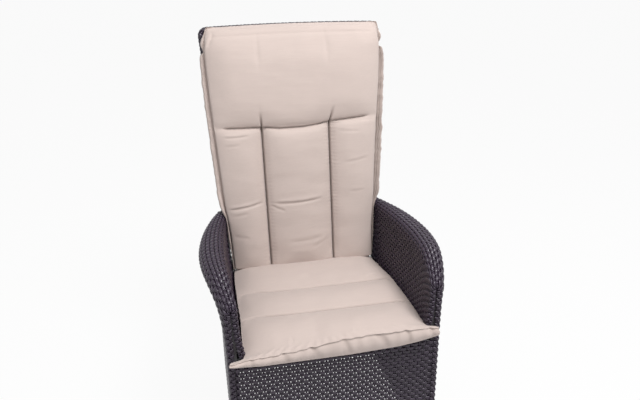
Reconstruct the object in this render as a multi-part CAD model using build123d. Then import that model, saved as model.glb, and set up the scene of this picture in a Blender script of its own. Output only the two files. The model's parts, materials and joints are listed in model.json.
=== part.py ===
from build123d import *
import os
from math import cos, hypot, pi, radians, sin, tan

# High-backed reclining garden armchair: a tube frame under woven strand, a back that turns
# between the arms, and a locking gas spring under the seat. Millimetres, X to the viewer's
# right, Y to the rear, Z up, floor at zero under the middle of the chair.

# Overall sizes
seat_gap_width = 440.0
arm_foot_width = 48.0
side_depth = 534.0
side_front = -304.0
arm_height = 609.0
arm_bow = 48.0
seat_height = 425.0
crease_y = 132.0
back_length = 710.0
back_foot_clearance = 6.0
back_spread = 54.0
back_lean = 9.6
seat_tilt = 3.9
recline_travel = 38.0

# Weave and seams
weave = 3.5
seam_gap = 0.3
panel_bottom = 30.0
overrun = 40.0

# Arm form
arm_front_drop = 43.0
arm_front_share = 0.25
arm_rear_drop = 24.0
arm_crest_share = 0.28
arm_rear_power_share = 1.6
bow_peak_share = 0.85
bow_tuck_share = 0.275
bow_tuck_power_share = 8.0
inner_front_step = 16.0
inner_rear_step = 6.5
inner_edge_bow = 20.0
arm_outer_drop = 28.0
arm_inner_drop = 20.0
flare_drop = 55.0
flare_pull_share = 0.62
inner_sweep_share = 0.38
cover_depth = 14.0
cover_low_width = 15.5
cover_edge_inset = 3.0
cover_edge_run = 4.0
groove_width = 2.0
groove_depth = 1.6
side_station_shares = (0.0, 0.04, 0.1, 0.18, 0.28, 0.4, 0.52, 0.64, 0.76, 0.88, 1.0)

# Aprons
apron_recess = 2.0
front_apron_drop = 2.3
rear_apron_drop = 55.5
rear_cover_low_width = 34.0

# Tube frame
post_size = 18.0
tube_wall = 1.5
post_clearance = 0.3
post_bottom = 20.0
arm_tube_diameter = 18.0
arm_tube_drop = 37.0
arm_tube_middle_share = 0.5
front_post_drop = 26.0
rear_post_drop = 32.0
base_rail_height = 43.0
rail_diameter = 20.0
seat_rail_step = 8.0
rear_rail_y = 148.0
spring_rail_y = -82.0
weld_lap = 6.0

# Foot glides
glide_diameter = 34.0
glide_stem_clearance = 0.2
glide_stem_height = 16.0
glide_edge = 2.0

# Seat deck
deck_front_inset = 4.0
deck_rear_y = 165.0
deck_side_inset = 4.0
panel_lift = 1.0

# Seat cushion
cushion_gap = 0.3
seat_cushion_thickness = 55.0
seat_side_clearance = 2.0
seat_wing = 32.0
seat_front_run = 463.0
seat_rear_run = 28.0
seat_seam_rear = 147.0
seat_seam_front = 300.0
seat_puff = 11.0
seat_seam_depth = 1.5
seat_edge_drop = 9.0
seat_corner_inset = 5.0
seat_border_bulge = 6.0
puff_shares = ((0.0, 0.0), (0.14, 0.62), (0.5, 1.0), (0.86, 0.62), (1.0, 0.0))
wing_shares = (
    (0.0, 0.0, 0.0), (0.14, 0.62, 0.0), (0.5, 1.0, 0.0), (0.86, 0.62, 0.0), (0.9, 0.48, 0.55),
    (1.0, 0.0, 1.0),
)
border_shares = ((0.0, 0.0), (0.7, 0.3), (1.0, 1.0))

# Back cushion
back_cushion_thickness = 50.0
back_cushion_length = 687.0
back_border_width = 24.0
header_seam = 433.0
channel_share = 0.455
back_puff = 12.0
back_side_puff_share = 0.75
header_puff = 9.0
back_valley = 4.0
back_edge_drop = 9.0
back_corner_inset = 5.0
back_end_thin = 8.0
back_draw_in = 5.0
lower_pad_shares = ((0.0, 0.15), (0.05, 0.7), (0.3, 1.0), (0.7, 1.0), (0.94, 0.7), (1.0, 0.1))
header_pad_shares = ((0.0, 0.1), (0.12, 0.7), (0.5, 1.0), (0.88, 0.7), (1.0, 0.1))

# Back frame
back_tube_diameter = 22.0
back_tube_top_radius = 30.0
back_tube_foot_radius = 120.0
back_straight = 30.0
back_shell_foot = -5.0
back_shell_corner = 34.0
back_shell_edge = 9.0
pivot_run = 30.0
tube_tail = 15.0
lower_bar_run = 25.0
middle_bar_run = 400.0
notch_clearance = 5.0

# Back pivot
pivot_bolt_diameter = 8.0
running_gap = 0.05
bush_wall = 2.0
bush_flange_diameter = 20.0
bush_flange = 4.2
flange_gap = 0.15
ear_thickness = 4.0
ear_radius = 14.0
ear_width = 36.0
ear_tail = 8.0
bolt_head = 5.3
bolt_head_width = 13.0
nut_height = 6.5
notch_radius = 24.0
notch_rise = 19.0

# Gas spring
lever_radius = 55.0
lever_pin_diameter = 8.0
lever_pin_play = 1.7
lever_plate = 4.0
lever_end_radius = 10.0
lever_root_radius = 14.0
lever_gap = 0.5
eye_width = 18.0
eye_wall = 5.0
cylinder_diameter = 22.0
cylinder_wall = 1.5
cylinder_length = 196.0
cylinder_guide = 14.0
cylinder_cap = 6.0
neck_diameter = 10.0
rod_diameter = 8.0
rod_inside = 42.0
piston_length = 12.0
piston_gap = 0.1
rod_end_y = -72.0

# Release head and handle
head_length = 20.0
head_width = 22.0
head_height = 24.0
head_edge = 2.0
head_bore_gap = 0.05
release_pin_diameter = 3.0
release_pin_stand = 5.0
release_pin_inside = 26.0
release_press = 2.9
finger_radius = 14.0
finger_gap = 0.2
finger_thickness = 5.0
finger_width = 8.0
bracket_plate = 3.0
bracket_gap = 0.2
bracket_rear_run = 4.0
bracket_foot = 12.0
screw_diameter = 5.0
screw_head_diameter = 9.0
screw_head = 2.6
screw_reach = 6.0
shaft_diameter = 10.0
bearing_width = 26.0
bearing_length = 8.0
bearing_foot = 14.0
grommet_diameter = 26.0
grommet_lip = 2.4
grommet_wall = 2.5
handle_gap = 1.0
handle_thickness = 13.0
handle_hub_diameter = 27.0
handle_length = 92.0
handle_tip_diameter = 20.0
handle_dip = 6.0
handle_edge = 3.0
shaft_socket = 9.0

# Planes that the seat and the back are drawn in
half_gap = seat_gap_width / 2
half_base = half_gap + arm_foot_width
inner_edge_front = half_gap + inner_front_step
inner_edge_rear = half_gap + inner_rear_step
seat_rail_offset = half_gap + seat_rail_step
back_foot_width = seat_gap_width - 2 * back_foot_clearance
back_top_width = back_foot_width + 2 * back_spread
back_cushion_top_width = back_top_width - 2 * back_border_width
seat_cushion_width = seat_gap_width - 2 * seat_side_clearance
seat_cushion_front_width = seat_cushion_width + 2 * seat_wing
side_rear = side_front + side_depth
crease = Vector(0, crease_y, seat_height)
seat_plane = Plane(
    origin=crease, x_dir=(1, 0, 0), z_dir=(0, sin(radians(seat_tilt)), cos(radians(seat_tilt)))
)
back_plane = Plane(
    origin=crease, x_dir=(1, 0, 0), z_dir=(0, -cos(radians(back_lean)), sin(radians(back_lean)))
)
back_face = -(back_cushion_thickness + cushion_gap)
back_tube_radius = back_tube_diameter / 2
back_tube_depth = back_face - weave - post_clearance - back_tube_radius
back_depth = 2 * (weave + post_clearance) + back_tube_diameter
shell_half_top = back_top_width / 2
shell_half_foot = back_foot_width / 2
tube_inset = weave + post_clearance + back_tube_radius
back_taper = (shell_half_top - shell_half_foot) / (back_length - back_straight)
tube_top = back_length - tube_inset
tube_half_foot = shell_half_foot - tube_inset
tube_half_top = (
    shell_half_foot + back_taper * (tube_top - back_straight) - tube_inset * hypot(1, back_taper)
)

flare_start = seat_height - flare_drop
front_post_top = arm_height - arm_front_drop - front_post_drop
rear_post_top = arm_height - arm_rear_drop - rear_post_drop
post_half = post_size / 2
front_post_x = half_base - weave - post_clearance - post_half
front_post_y = side_front + apron_recess + weave + post_clearance + post_half
rear_post_y = side_rear - apron_recess - weave - post_clearance - post_half
rail_radius = rail_diameter / 2
front_rail_y = front_post_y - post_half + rail_radius
half_recline = recline_travel / 2


def seat_surface(y):
    """Height of the seat's top plane above the floor at a given y."""
    return seat_height + (crease_y - y) * tan(radians(seat_tilt))


deck_top_drop = (seat_cushion_thickness + cushion_gap) / cos(radians(seat_tilt))
rail_drop = deck_top_drop + (weave + rail_radius) / cos(radians(seat_tilt))


def deck_surface(y):
    """Height of the woven deck's top at a given y."""
    return seat_surface(y) - deck_top_drop


def rail_height(y):
    """Height of the seat rails' centre line at a given y."""
    return seat_surface(y) - rail_drop


front_apron_top = deck_surface(side_front) - front_apron_drop
rear_apron_top = seat_height - rear_apron_drop


pivot = back_plane.from_local_coords(Vector(0, -pivot_run, back_tube_depth))
lever_pin = pivot + Vector(
    0, lever_radius * sin(radians(half_recline)), -lever_radius * cos(radians(half_recline))
)
spring_z = pivot.Z - lever_radius * (1 + cos(radians(half_recline))) / 2
spring_stroke = 2 * lever_radius * sin(radians(half_recline))


def bow(share):
    """How far the arm bows out past the base at a share of the side's depth."""
    return arm_bow * (
        sin(pi * share**bow_peak_share) - bow_tuck_share * share**bow_tuck_power_share
    )


def crest(share):
    """Height of the arm's top at a share of the side's depth."""
    front = max(0.0, 1 - share / arm_front_share)
    rear = max(0.0, (share - arm_crest_share) / (1 - arm_crest_share))
    return arm_height - arm_front_drop * front**2 - arm_rear_drop * rear**arm_rear_power_share


def inner_edge(share):
    """Distance of the arm top's inner edge from the middle of the chair."""
    edge = inner_edge_front + (inner_edge_rear - inner_edge_front) * share
    return edge + inner_edge_bow * max(0.0, sin(pi * share**bow_peak_share))


rear_post_x = half_base + bow(1.0) - weave - post_clearance - post_half


def run_edge(points):
    """A straight edge through two points, or a smooth one pulled by the middle point."""
    return Edge.make_line(*points) if len(points) == 2 else Edge.make_bezier(*points)


def strip_wire(face_runs, back_runs, y):
    """Closed section of a thin wall at one y, from its face and its back in x and z."""
    face_runs = [[Vector(x, y, z) for x, z in run] for run in face_runs]
    back_runs = [[Vector(x, y, z) for x, z in run] for run in back_runs]
    edges = [run_edge(run) for run in face_runs]
    edges.append(Edge.make_line(face_runs[-1][-1], back_runs[-1][-1]))
    edges += [run_edge(run[::-1]) for run in back_runs[::-1]]
    edges.append(Edge.make_line(back_runs[0][0], face_runs[0][0]))
    return Wire(edges)


def shifted(runs, dx):
    """The same runs moved sideways."""
    return [[(x + dx, z) for x, z in run] for run in runs]


def side_stations():
    """Each station along the side between the covers, as its share and its y."""
    first = side_front + cover_depth + seam_gap
    last = side_rear - cover_depth - seam_gap
    places = [first + (last - first) * share for share in side_station_shares]
    return [((y - side_front) / side_depth, y) for y in places]


def outer_top(share):
    """Height of the outer panel's top edge."""
    return crest(share) - arm_outer_drop


def outer_panel():
    """Woven outer side, upright at the base and flaring out under the arm."""
    wires = []
    for share, y in side_stations():
        top = outer_top(share) - seam_gap
        knee = flare_start + flare_pull_share * (top - flare_start)
        face = [
            [(half_base, panel_bottom), (half_base, flare_start)],
            [(half_base, flare_start), (half_base, knee), (half_base + bow(share), top)],
        ]
        wires.append(strip_wire(face, shifted(face, -weave), y))
    return Solid.make_loft(wires)


def arm_top():
    """Woven top of the arm, rounded over from the outer panel to the inner one."""
    wires = []
    for share, y in side_stations():
        outer, inner, top = half_base + bow(share), inner_edge(share), crest(share)
        middle = (outer + inner) / 2
        low_outer, low_inner = top - arm_outer_drop, top - arm_inner_drop
        face = [
            [(outer, low_outer), (outer, top), (middle, top)],
            [(middle, top), (inner, top), (inner, low_inner)],
        ]
        under = top - weave
        back = [
            [(outer - weave, low_outer), (outer - weave, under), (middle, under)],
            [(middle, under), (inner + weave, under), (inner + weave, low_inner)],
        ]
        wires.append(strip_wire(face, back, y))
    return Solid.make_loft(wires)


def inner_panel():
    """Woven inner side, hollow towards the seat, with a notch round the back's pivot."""
    wires = []
    for share, y in side_stations():
        top = crest(share) - arm_inner_drop - seam_gap
        foot = deck_surface(y) + panel_lift
        knee = foot + inner_sweep_share * (top - foot)
        face = [[(half_gap, foot), (inner_edge(share), knee), (inner_edge(share), top)]]
        wires.append(strip_wire(face, shifted(face, weave), y))
    panel = Solid.make_loft(wires)
    notch_top = pivot.Z + notch_rise
    depth = side_rear - pivot.Y + notch_radius
    notch = Pos(half_gap, pivot.Y - notch_radius, notch_top) * Box(
        2 * overrun, depth, notch_top, align=(Align.CENTER, Align.MIN, Align.MAX)
    )
    return (panel - notch).solid()


def arm_outline(share, y, low, inset):
    """Closed outline of the arm at one y, from a given height up, drawn in by an inset."""
    outer = half_base + bow(share) - inset
    inner = inner_edge(share) + inset
    top = crest(share) - inset
    middle = (outer + inner) / 2
    low_outer, low_inner = crest(share) - arm_outer_drop, crest(share) - arm_inner_drop
    runs = [
        [(inner, low), (half_base - inset, low)],
        [(half_base - inset, low), (half_base - inset, (low + low_outer) / 2), (outer, low_outer)],
        [(outer, low_outer), (outer, top), (middle, top)],
        [(middle, top), (inner, top), (inner, low_inner)],
        [(inner, low_inner), (inner, low)],
    ]
    return Wire([run_edge([Vector(x, y, z) for x, z in run]) for run in runs])


def arm_cover(outer_y, inner_y, low, low_width, post):
    """Wrapped cover of a post: narrow beside the apron, as wide as the arm above it."""
    edge_y = outer_y + cover_edge_run * (1 if inner_y > outer_y else -1)
    sections = [(outer_y, cover_edge_inset), (edge_y, 0.0), (inner_y, 0.0)]
    wires = []
    for y, inset in sections:
        share = min(1.0, max(0.0, (y - side_front) / side_depth))
        wires.append(arm_outline(share, y, low, inset))
    upper = Solid.make_loft(wires, ruled=True)
    lower = Pos(half_base - low_width, min(outer_y, inner_y), panel_bottom) * Box(
        low_width, cover_depth, low - panel_bottom, align=(Align.MIN, Align.MIN, Align.MIN)
    )
    corner = lower.edges().filter_by(Axis.Z).sort_by(lambda e: e.center().X - e.center().Y * (
        1 if inner_y > outer_y else -1
    ))[-1]
    lower = fillet(corner, cover_edge_run)
    return (upper + lower - post - arm_tube_room()).solid()


def post_room(x, y, top):
    """Room inside a cover for a post with the arm tube's end on it."""
    room = post_size + 2 * post_clearance
    height = top + arm_tube_diameter / 2
    return Pos(x, y, 0) * Box(
        room, room, height, align=(Align.CENTER, Align.CENTER, Align.MIN)
    )


def front_cover():
    """Front post cover, with the groove between its two wrapped borders."""
    low = front_apron_top
    cover = arm_cover(
        side_front,
        side_front + cover_depth,
        low,
        cover_low_width,
        post_room(front_post_x, front_post_y, front_post_top),
    )
    groove = Pos((half_base + inner_edge_front) / 2, side_front, low) * Box(
        groove_width, 2 * groove_depth, arm_height, align=(Align.CENTER, Align.CENTER, Align.MIN)
    )
    return (cover - groove).solid()


def rear_cover():
    """Cover of the rear post, closing the arm behind."""
    return arm_cover(
        side_rear,
        side_rear - cover_depth,
        flare_start,
        rear_cover_low_width,
        post_room(rear_post_x, rear_post_y, rear_post_top),
    )


def apron(half_width, y, top):
    """Flat woven apron from near the floor up."""
    return Pos(0, y, panel_bottom) * Box(
        2 * half_width, weave, top - panel_bottom, align=(Align.CENTER, Align.MIN, Align.MIN)
    )


def front_apron():
    """Woven apron between the front covers, under the cushion."""
    half = half_base - cover_low_width - seam_gap
    sheet = apron(half, side_front + apron_recess, front_apron_top - seam_gap)
    for sign in (-1, 1):
        sheet -= post_room(sign * front_post_x, front_post_y, front_post_top)
    return sheet.solid()


def rear_apron():
    """Woven apron between the rear covers, under the back."""
    half = half_base - rear_cover_low_width - seam_gap
    return apron(half, side_rear - apron_recess - weave, rear_apron_top)


def post(x, y, top):
    """Square tube post on one foot."""
    outer = Box(post_size, post_size, top - post_bottom, align=(Align.CENTER,) * 2 + (Align.MIN,))
    bore = post_size - 2 * tube_wall
    inner = Box(bore, bore, top - post_bottom, align=(Align.CENTER,) * 2 + (Align.MIN,))
    return Pos(x, y, post_bottom) * (outer - inner)


def post_body(x, y, top):
    """The post's outer form, solid, for fitting rails to it."""
    return Pos(x, y, post_bottom) * Box(
        post_size, post_size, top - post_bottom, align=(Align.CENTER,) * 2 + (Align.MIN,)
    )


front_body = post_body(front_post_x, front_post_y, front_post_top)
rear_body = post_body(rear_post_x, rear_post_y, rear_post_top)


def square_tube(start, end):
    """Square tube with its centre line from start to end."""
    line = end - start
    plane = Plane(origin=start, x_dir=Vector(0, 0, 1).cross(line), z_dir=line)
    bore = post_size - 2 * tube_wall
    ring = Rectangle(post_size, post_size) - Rectangle(bore, bore)
    return extrude(plane * ring, line.length, dir=line)


def round_tube(start, end, diameter):
    """Round tube with its centre line from start to end."""
    line = end - start
    plane = Plane(origin=start, z_dir=line)
    ring = Circle(diameter / 2) - Circle(diameter / 2 - tube_wall)
    return extrude(plane * ring, line.length, dir=line)


def round_bar(start, end, diameter):
    """Solid round bar from start to end."""
    line = end - start
    return extrude(Plane(origin=start, z_dir=line) * Circle(diameter / 2), line.length, dir=line)


def arm_tube_sweep(section):
    """A section carried along the arm tube's arc, from post top to post top."""
    radius = arm_tube_diameter / 2
    start = Vector(front_post_x, front_post_y - post_half, front_post_top + radius)
    end = Vector(rear_post_x, rear_post_y + post_half, rear_post_top + radius)
    share = arm_tube_middle_share
    middle_x = (half_base + bow(share) + inner_edge(share)) / 2
    middle = Vector(middle_x, side_front + share * side_depth, arm_height - arm_tube_drop)
    path = Edge.make_three_point_arc(start, middle, end)
    return sweep(Plane(origin=start, z_dir=path.tangent_at(0)) * section, path=path).solid()


def arm_tube():
    """Bent tube under the arm's weave, welded on the two posts' tops."""
    radius = arm_tube_diameter / 2
    return arm_tube_sweep(Circle(radius) - Circle(radius - tube_wall))


def arm_tube_room():
    """Room for the arm tube in the covers."""
    return arm_tube_sweep(Circle(arm_tube_diameter / 2 + post_clearance))


def base_rail():
    """Low side rail between the front and the rear post."""
    start = Vector(front_post_x, front_post_y + post_half - weld_lap, base_rail_height)
    end = Vector(rear_post_x, rear_post_y - post_half + weld_lap, base_rail_height)
    rail = square_tube(start, end) - front_body - rear_body
    for y, post_x in ((front_post_y, front_post_x), (rear_post_y, rear_post_x)):
        rail -= cross_base_body(y, post_x)
    return rail.solid()


def cross_base_rail(y, post_x):
    """Low rail across the chair between two posts."""
    half = post_x - post_half
    return square_tube(Vector(-half, y, base_rail_height), Vector(half, y, base_rail_height))


def cross_base_body(y, post_x):
    """The low cross rail's outer form, solid."""
    return Pos(0, y, base_rail_height) * Box(2 * (post_x - post_half), post_size, post_size)


def front_seat_rail():
    """Round rail between the front posts, under the deck's front edge."""
    half = front_post_x - post_half
    z = rail_height(front_rail_y)
    return round_tube(Vector(-half, front_rail_y, z), Vector(half, front_rail_y, z), rail_diameter)


def seat_rail():
    """Side rail of the seat, from the front seat rail back to the rear post's front face."""
    end_y = rear_post_y - post_half
    start = Vector(seat_rail_offset, front_rail_y, rail_height(front_rail_y))
    end = Vector(seat_rail_offset, end_y, rail_height(end_y))
    rail = round_tube(start, end, rail_diameter)
    cross = round_bar(
        Vector(0, front_rail_y, start.Z), Vector(half_base, front_rail_y, start.Z), rail_diameter
    )
    ahead = Pos(seat_rail_offset, front_rail_y, start.Z) * Box(
        2 * rail_diameter, 2 * rail_diameter, 2 * rail_diameter,
        align=(Align.CENTER, Align.MAX, Align.CENTER),
    )
    return (rail - cross - ahead - rear_body).solid()


def seat_rail_body(sign):
    """The seat rail's outer form, solid, for fitting cross rails and ears to it."""
    start = Vector(sign * seat_rail_offset, side_front, rail_height(side_front))
    end = Vector(sign * seat_rail_offset, side_rear, rail_height(side_rear))
    return round_bar(start, end, rail_diameter)


def cross_rail(y):
    """Round cross rail between the two seat rails."""
    z = rail_height(y)
    rail = round_tube(
        Vector(-seat_rail_offset, y, z), Vector(seat_rail_offset, y, z), rail_diameter
    )
    return (rail - seat_rail_body(1) - seat_rail_body(-1)).solids().sort_by(
        lambda s: s.volume
    )[-1]


def glide(x, y):
    """Foot glide: a rounded pad with a stem inside the post."""
    pad = Cylinder(glide_diameter / 2, post_bottom, align=(Align.CENTER,) * 2 + (Align.MIN,))
    pad = fillet(pad.edges().filter_by(GeomType.CIRCLE), glide_edge)
    bore = post_size - 2 * tube_wall - 2 * glide_stem_clearance
    stem = Pos(0, 0, post_bottom) * Box(
        bore, bore, glide_stem_height, align=(Align.CENTER,) * 2 + (Align.MIN,)
    )
    return (Pos(x, y, 0) * (pad + stem)).solid()


def foot_glides():
    """The four foot glides."""
    places = [(front_post_x, front_post_y), (rear_post_x, rear_post_y)]
    return Compound([glide(sign * x, y) for x, y in places for sign in (-1, 1)])


def seat_deck():
    """Woven deck on the seat rails, under the cushion."""
    front_y = side_front + apron_recess + weave + deck_front_inset
    slope = cos(radians(seat_tilt))
    front_run = (crease_y - front_y) / slope
    rear_run = (deck_rear_y - crease_y) / slope
    half = seat_rail_offset + deck_side_inset
    top = -(seat_cushion_thickness + cushion_gap)
    sheet = Pos(0, -front_run, top) * Box(
        2 * half, front_run + rear_run, weave, align=(Align.CENTER, Align.MIN, Align.MAX)
    )
    deck = seat_plane * sheet
    for sign in (-1, 1):
        deck -= post_room(sign * front_post_x, front_post_y, front_post_top)
        low = Pos(sign * half, side_front, 0) * Box(
            2 * (half - inner_edge_front + seam_gap + weave) + weave, 2 * cover_depth,
            arm_height, align=(Align.CENTER, Align.CENTER, Align.MIN),
        )
        deck -= low
    return deck.solid()


def pad_section(y, half, top, edge, bottom, inset):
    """Closed cushion section across X: flat below, bowed sides and a crowned top."""
    low_right, low_left = Vector(half - inset, y, bottom), Vector(inset - half, y, bottom)
    high_right, high_left = Vector(half - inset, y, edge), Vector(inset - half, y, edge)
    waist = (bottom + edge) / 2
    return Wire([
        Edge.make_line(low_left, low_right),
        Edge.make_three_point_arc(low_right, Vector(half, y, waist), high_right),
        Edge.make_three_point_arc(high_right, Vector(0, y, top), high_left),
        Edge.make_three_point_arc(high_left, Vector(-half, y, waist), low_left),
    ])


def seat_channel(start, end, half_start, half_end, seam_start, seam_end):
    """One cross channel of the seat cushion, puffed between its two seams."""
    wires = []
    for share, puff in puff_shares:
        y = start + (end - start) * share
        half = half_start + (half_end - half_start) * share
        top = seam_start + (seam_end - seam_start) * share + seat_puff * puff
        edge = top - seat_edge_drop
        wires.append(pad_section(y, half, top, edge, -seat_cushion_thickness, seat_corner_inset))
    return Solid.make_loft(wires)


def seat_cushion():
    """Seat cushion with three cross channels, a winged front and a bulged front border."""
    half = seat_cushion_width / 2
    half_front = seat_cushion_front_width / 2
    seam = -seat_seam_depth
    rear_top = -(seat_rear_run + seat_edge_drop) / 2
    parts = [
        seat_channel(seat_rear_run, -seat_seam_rear, half - seat_edge_drop, half, rear_top, seam),
        seat_channel(-seat_seam_rear, -seat_seam_front, half, half, seam, seam),
    ]
    thickness = -seat_cushion_thickness
    front_wires = []
    third_run = seat_front_run - seat_seam_front
    for share, puff, spread in wing_shares:
        y = -seat_seam_front - third_run * share
        width = half + (half_front - half) * spread
        top = seam + seat_puff * puff
        front_wires.append(
            pad_section(y, width, top, top - seat_edge_drop, thickness, seat_corner_inset)
        )
    parts.append(Solid.make_loft(front_wires, ruled=True))
    border = [
        pad_section(
            -seat_front_run - seat_border_bulge * run,
            half_front - seat_border_bulge * inset,
            seam - seat_border_bulge * inset,
            seam - seat_edge_drop - seat_border_bulge * inset,
            thickness + seat_border_bulge * inset,
            seat_corner_inset,
        )
        for run, inset in border_shares
    ]
    parts.append(Solid.make_loft(border, ruled=True))
    whole = parts[0]
    for piece in parts[1:]:
        whole = whole + piece
    return (seat_plane * whole).solid()


def back_half(v, foot_width, top_width, length):
    """Half width of a back piece that widens evenly from its foot to its top."""
    return (foot_width + (top_width - foot_width) * max(0.0, v) / length) / 2


def back_section(v, puff, side_puff, valley, thin):
    """Section of the back cushion at one height: flat behind, three crowned channels."""
    draw = back_draw_in * sin(pi * min(1.0, max(0.0, v / back_cushion_length)))
    half = back_half(v, back_foot_width, back_cushion_top_width, back_cushion_length)
    half -= draw
    seam_x = half * channel_share
    rim = half - back_corner_inset
    rear = -back_cushion_thickness
    front = -back_edge_drop - thin
    waist = (rear + front) / 2

    def at(x, w):
        return Vector(x, v, w)

    side_x = (rim + seam_x) / 2
    return Wire([
        Edge.make_line(at(-rim, rear), at(rim, rear)),
        Edge.make_three_point_arc(at(rim, rear), at(half, waist), at(rim, front)),
        Edge.make_three_point_arc(at(rim, front), at(side_x, side_puff), at(seam_x, -valley)),
        Edge.make_three_point_arc(at(seam_x, -valley), at(0, puff), at(-seam_x, -valley)),
        Edge.make_three_point_arc(at(-seam_x, -valley), at(-side_x, side_puff), at(-rim, front)),
        Edge.make_three_point_arc(at(-rim, front), at(-half, waist), at(-rim, rear)),
    ])


def back_pad(start, end, shares, puff, thin_start, thin_end):
    """One padded field of the back cushion between two seams or ends."""
    wires = []
    for share, fill in shares:
        v = start + (end - start) * share
        thin = (thin_start if share == 0 else thin_end if share == 1 else 0.0) * back_end_thin
        middle = puff * fill
        side = puff * fill * back_side_puff_share
        wires.append(back_section(v, middle, side, back_valley, thin))
    return Solid.make_loft(wires)


def back_cushion():
    """Back cushion: three upright channels below the header seam and a header above it."""
    lower = back_pad(0.0, header_seam, lower_pad_shares, back_puff, 1.0, 0.0)
    header = back_pad(
        header_seam, back_cushion_length, header_pad_shares, header_puff, 0.0, 1.0
    )
    return (back_plane * (lower + header)).solid()


def back_outline(inset, foot):
    """Outline of the woven back, widening to its top, with two rounded top corners."""
    top = back_length - inset
    points = [
        (-shell_half_foot + inset, foot),
        (shell_half_foot - inset, foot),
        (shell_half_foot - inset, back_straight),
        (shell_half_top - inset, top),
        (-shell_half_top + inset, top),
        (-shell_half_foot + inset, back_straight),
    ]
    face = make_face(Polyline(*points, close=True))
    corners = face.vertices().sort_by(Axis.Y)[-2:]
    return fillet(corners, back_shell_corner - inset)


def back_block(inset, foot, low, high):
    """The back's outline as a block between two depths."""
    return Pos(0, 0, low) * extrude(back_outline(inset, foot), high - low, dir=(0, 0, 1))


def lever_notch():
    """Room at the back's foot for the lever plates."""
    half = eye_width / 2 + lever_gap + lever_plate + notch_clearance
    reach = lower_bar_run + lever_root_radius + seam_gap
    return Pos(0, reach, back_face) * Box(
        2 * half, 2 * overrun, 2 * overrun, align=(Align.CENTER, Align.MAX, Align.CENTER)
    )


def back_shell():
    """Woven rear shell of the back: a shallow tray open to the front and at its foot."""
    rear = back_face - back_depth
    outer = back_block(0.0, back_shell_foot, rear, back_face - weave)
    edges = outer.edges().group_by(Axis.Z)[0].sort_by(Axis.Y)[1:]
    outer = fillet(edges, back_shell_edge)
    inner = back_block(weave, back_shell_foot - overrun, rear + weave, back_face)
    return (back_plane * (outer - inner - lever_notch())).solid()


def back_front():
    """Woven front sheet of the back, behind the cushion."""
    sheet = back_block(0.0, back_shell_foot, back_face - weave + seam_gap, back_face)
    return (back_plane * (sheet - lever_notch())).solid()


def back_tube_points():
    """Corners of the back tube's centre line, from one tail over the top to the other."""
    tail = -pivot_run - tube_tail
    right = [(tube_half_foot, tail), (tube_half_foot, back_straight), (tube_half_top, tube_top)]
    return [(-x, v, back_tube_depth) for x, v in right] + [
        (x, v, back_tube_depth) for x, v in right[::-1]
    ]


def back_tube_path():
    """Centre line of the back tube with its four bends."""
    foot, top = back_tube_foot_radius, back_tube_top_radius
    return FilletPolyline(*back_tube_points(), radius=[foot, top, top, foot])


def pivot_bar(diameter, half):
    """Bar across the chair on the pivot's axis."""
    return round_bar(
        Vector(-half, pivot.Y, pivot.Z), Vector(half, pivot.Y, pivot.Z), diameter
    )


bush_diameter = pivot_bolt_diameter + 2 * running_gap + 2 * bush_wall


def back_frame():
    """Bent tube of the back, cross-bored for the pivot bushes."""
    path = back_tube_path()
    start = Vector(*back_tube_points()[0])
    section = Plane(origin=start, x_dir=(1, 0, 0), z_dir=(0, 1, 0)) * (
        Circle(back_tube_radius) - Circle(back_tube_radius - tube_wall)
    )
    tube = back_plane * sweep(section, path=path)
    return (tube - pivot_bar(bush_diameter, half_base)).solid()


def back_bar(v):
    """Cross tube of the back between the two sides of the bent tube."""
    half = shell_half_top
    start = back_plane.from_local_coords(Vector(-half, v, back_tube_depth))
    end = back_plane.from_local_coords(Vector(half, v, back_tube_depth))
    bar = round_tube(start, end, back_tube_diameter)
    first = Vector(*back_tube_points()[0])
    section = Plane(origin=first, x_dir=(1, 0, 0), z_dir=(0, 1, 0)) * Circle(back_tube_radius)
    solid_tube = back_plane * sweep(section, path=back_tube_path())
    return (bar - solid_tube).solids().sort_by(lambda s: s.volume)[-1]


def pair(piece):
    """A piece and its mirror image, as two separate solids of one node."""
    return Compound([piece.solid(), mirror(piece, about=Plane.YZ).solid()])


tube_face = tube_half_foot + back_tube_radius
ear_face = tube_face + bush_flange + flange_gap


def pivot_bush():
    """Flanged bush through the back tube, with a saddle that fits the round tube."""
    inside = tube_half_foot - back_tube_radius
    sleeve = round_bar(
        Vector(inside, pivot.Y, pivot.Z), Vector(tube_face, pivot.Y, pivot.Z), bush_diameter
    )
    flange = round_bar(
        Vector(tube_half_foot, pivot.Y, pivot.Z),
        Vector(tube_face + bush_flange, pivot.Y, pivot.Z),
        bush_flange_diameter,
    )
    low_run = -overrun - pivot_run
    axis_low = back_plane.from_local_coords(Vector(tube_half_foot, low_run, back_tube_depth))
    axis_high = back_plane.from_local_coords(Vector(tube_half_foot, overrun, back_tube_depth))
    saddle = flange - round_bar(axis_low, axis_high, back_tube_diameter)
    saddle = saddle.solids().sort_by(Axis.X)[-1]
    bore = pivot_bar(pivot_bolt_diameter + 2 * running_gap, half_base)
    return (sleeve + saddle - bore).solid()


def pivot_bolt():
    """Pivot bolt: hexagon head outside the ear, shank through the ear and the bush."""
    head_x = ear_face + ear_thickness
    inside = tube_half_foot - back_tube_radius - flange_gap - nut_height
    shank = round_bar(
        Vector(inside, pivot.Y, pivot.Z), Vector(head_x, pivot.Y, pivot.Z), pivot_bolt_diameter
    )
    plane = Plane(origin=(head_x, pivot.Y, pivot.Z), z_dir=(1, 0, 0))
    head = extrude(plane * RegularPolygon(bolt_head_width / 2, 6, major_radius=False), bolt_head)
    return (shank + head).solid()


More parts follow.
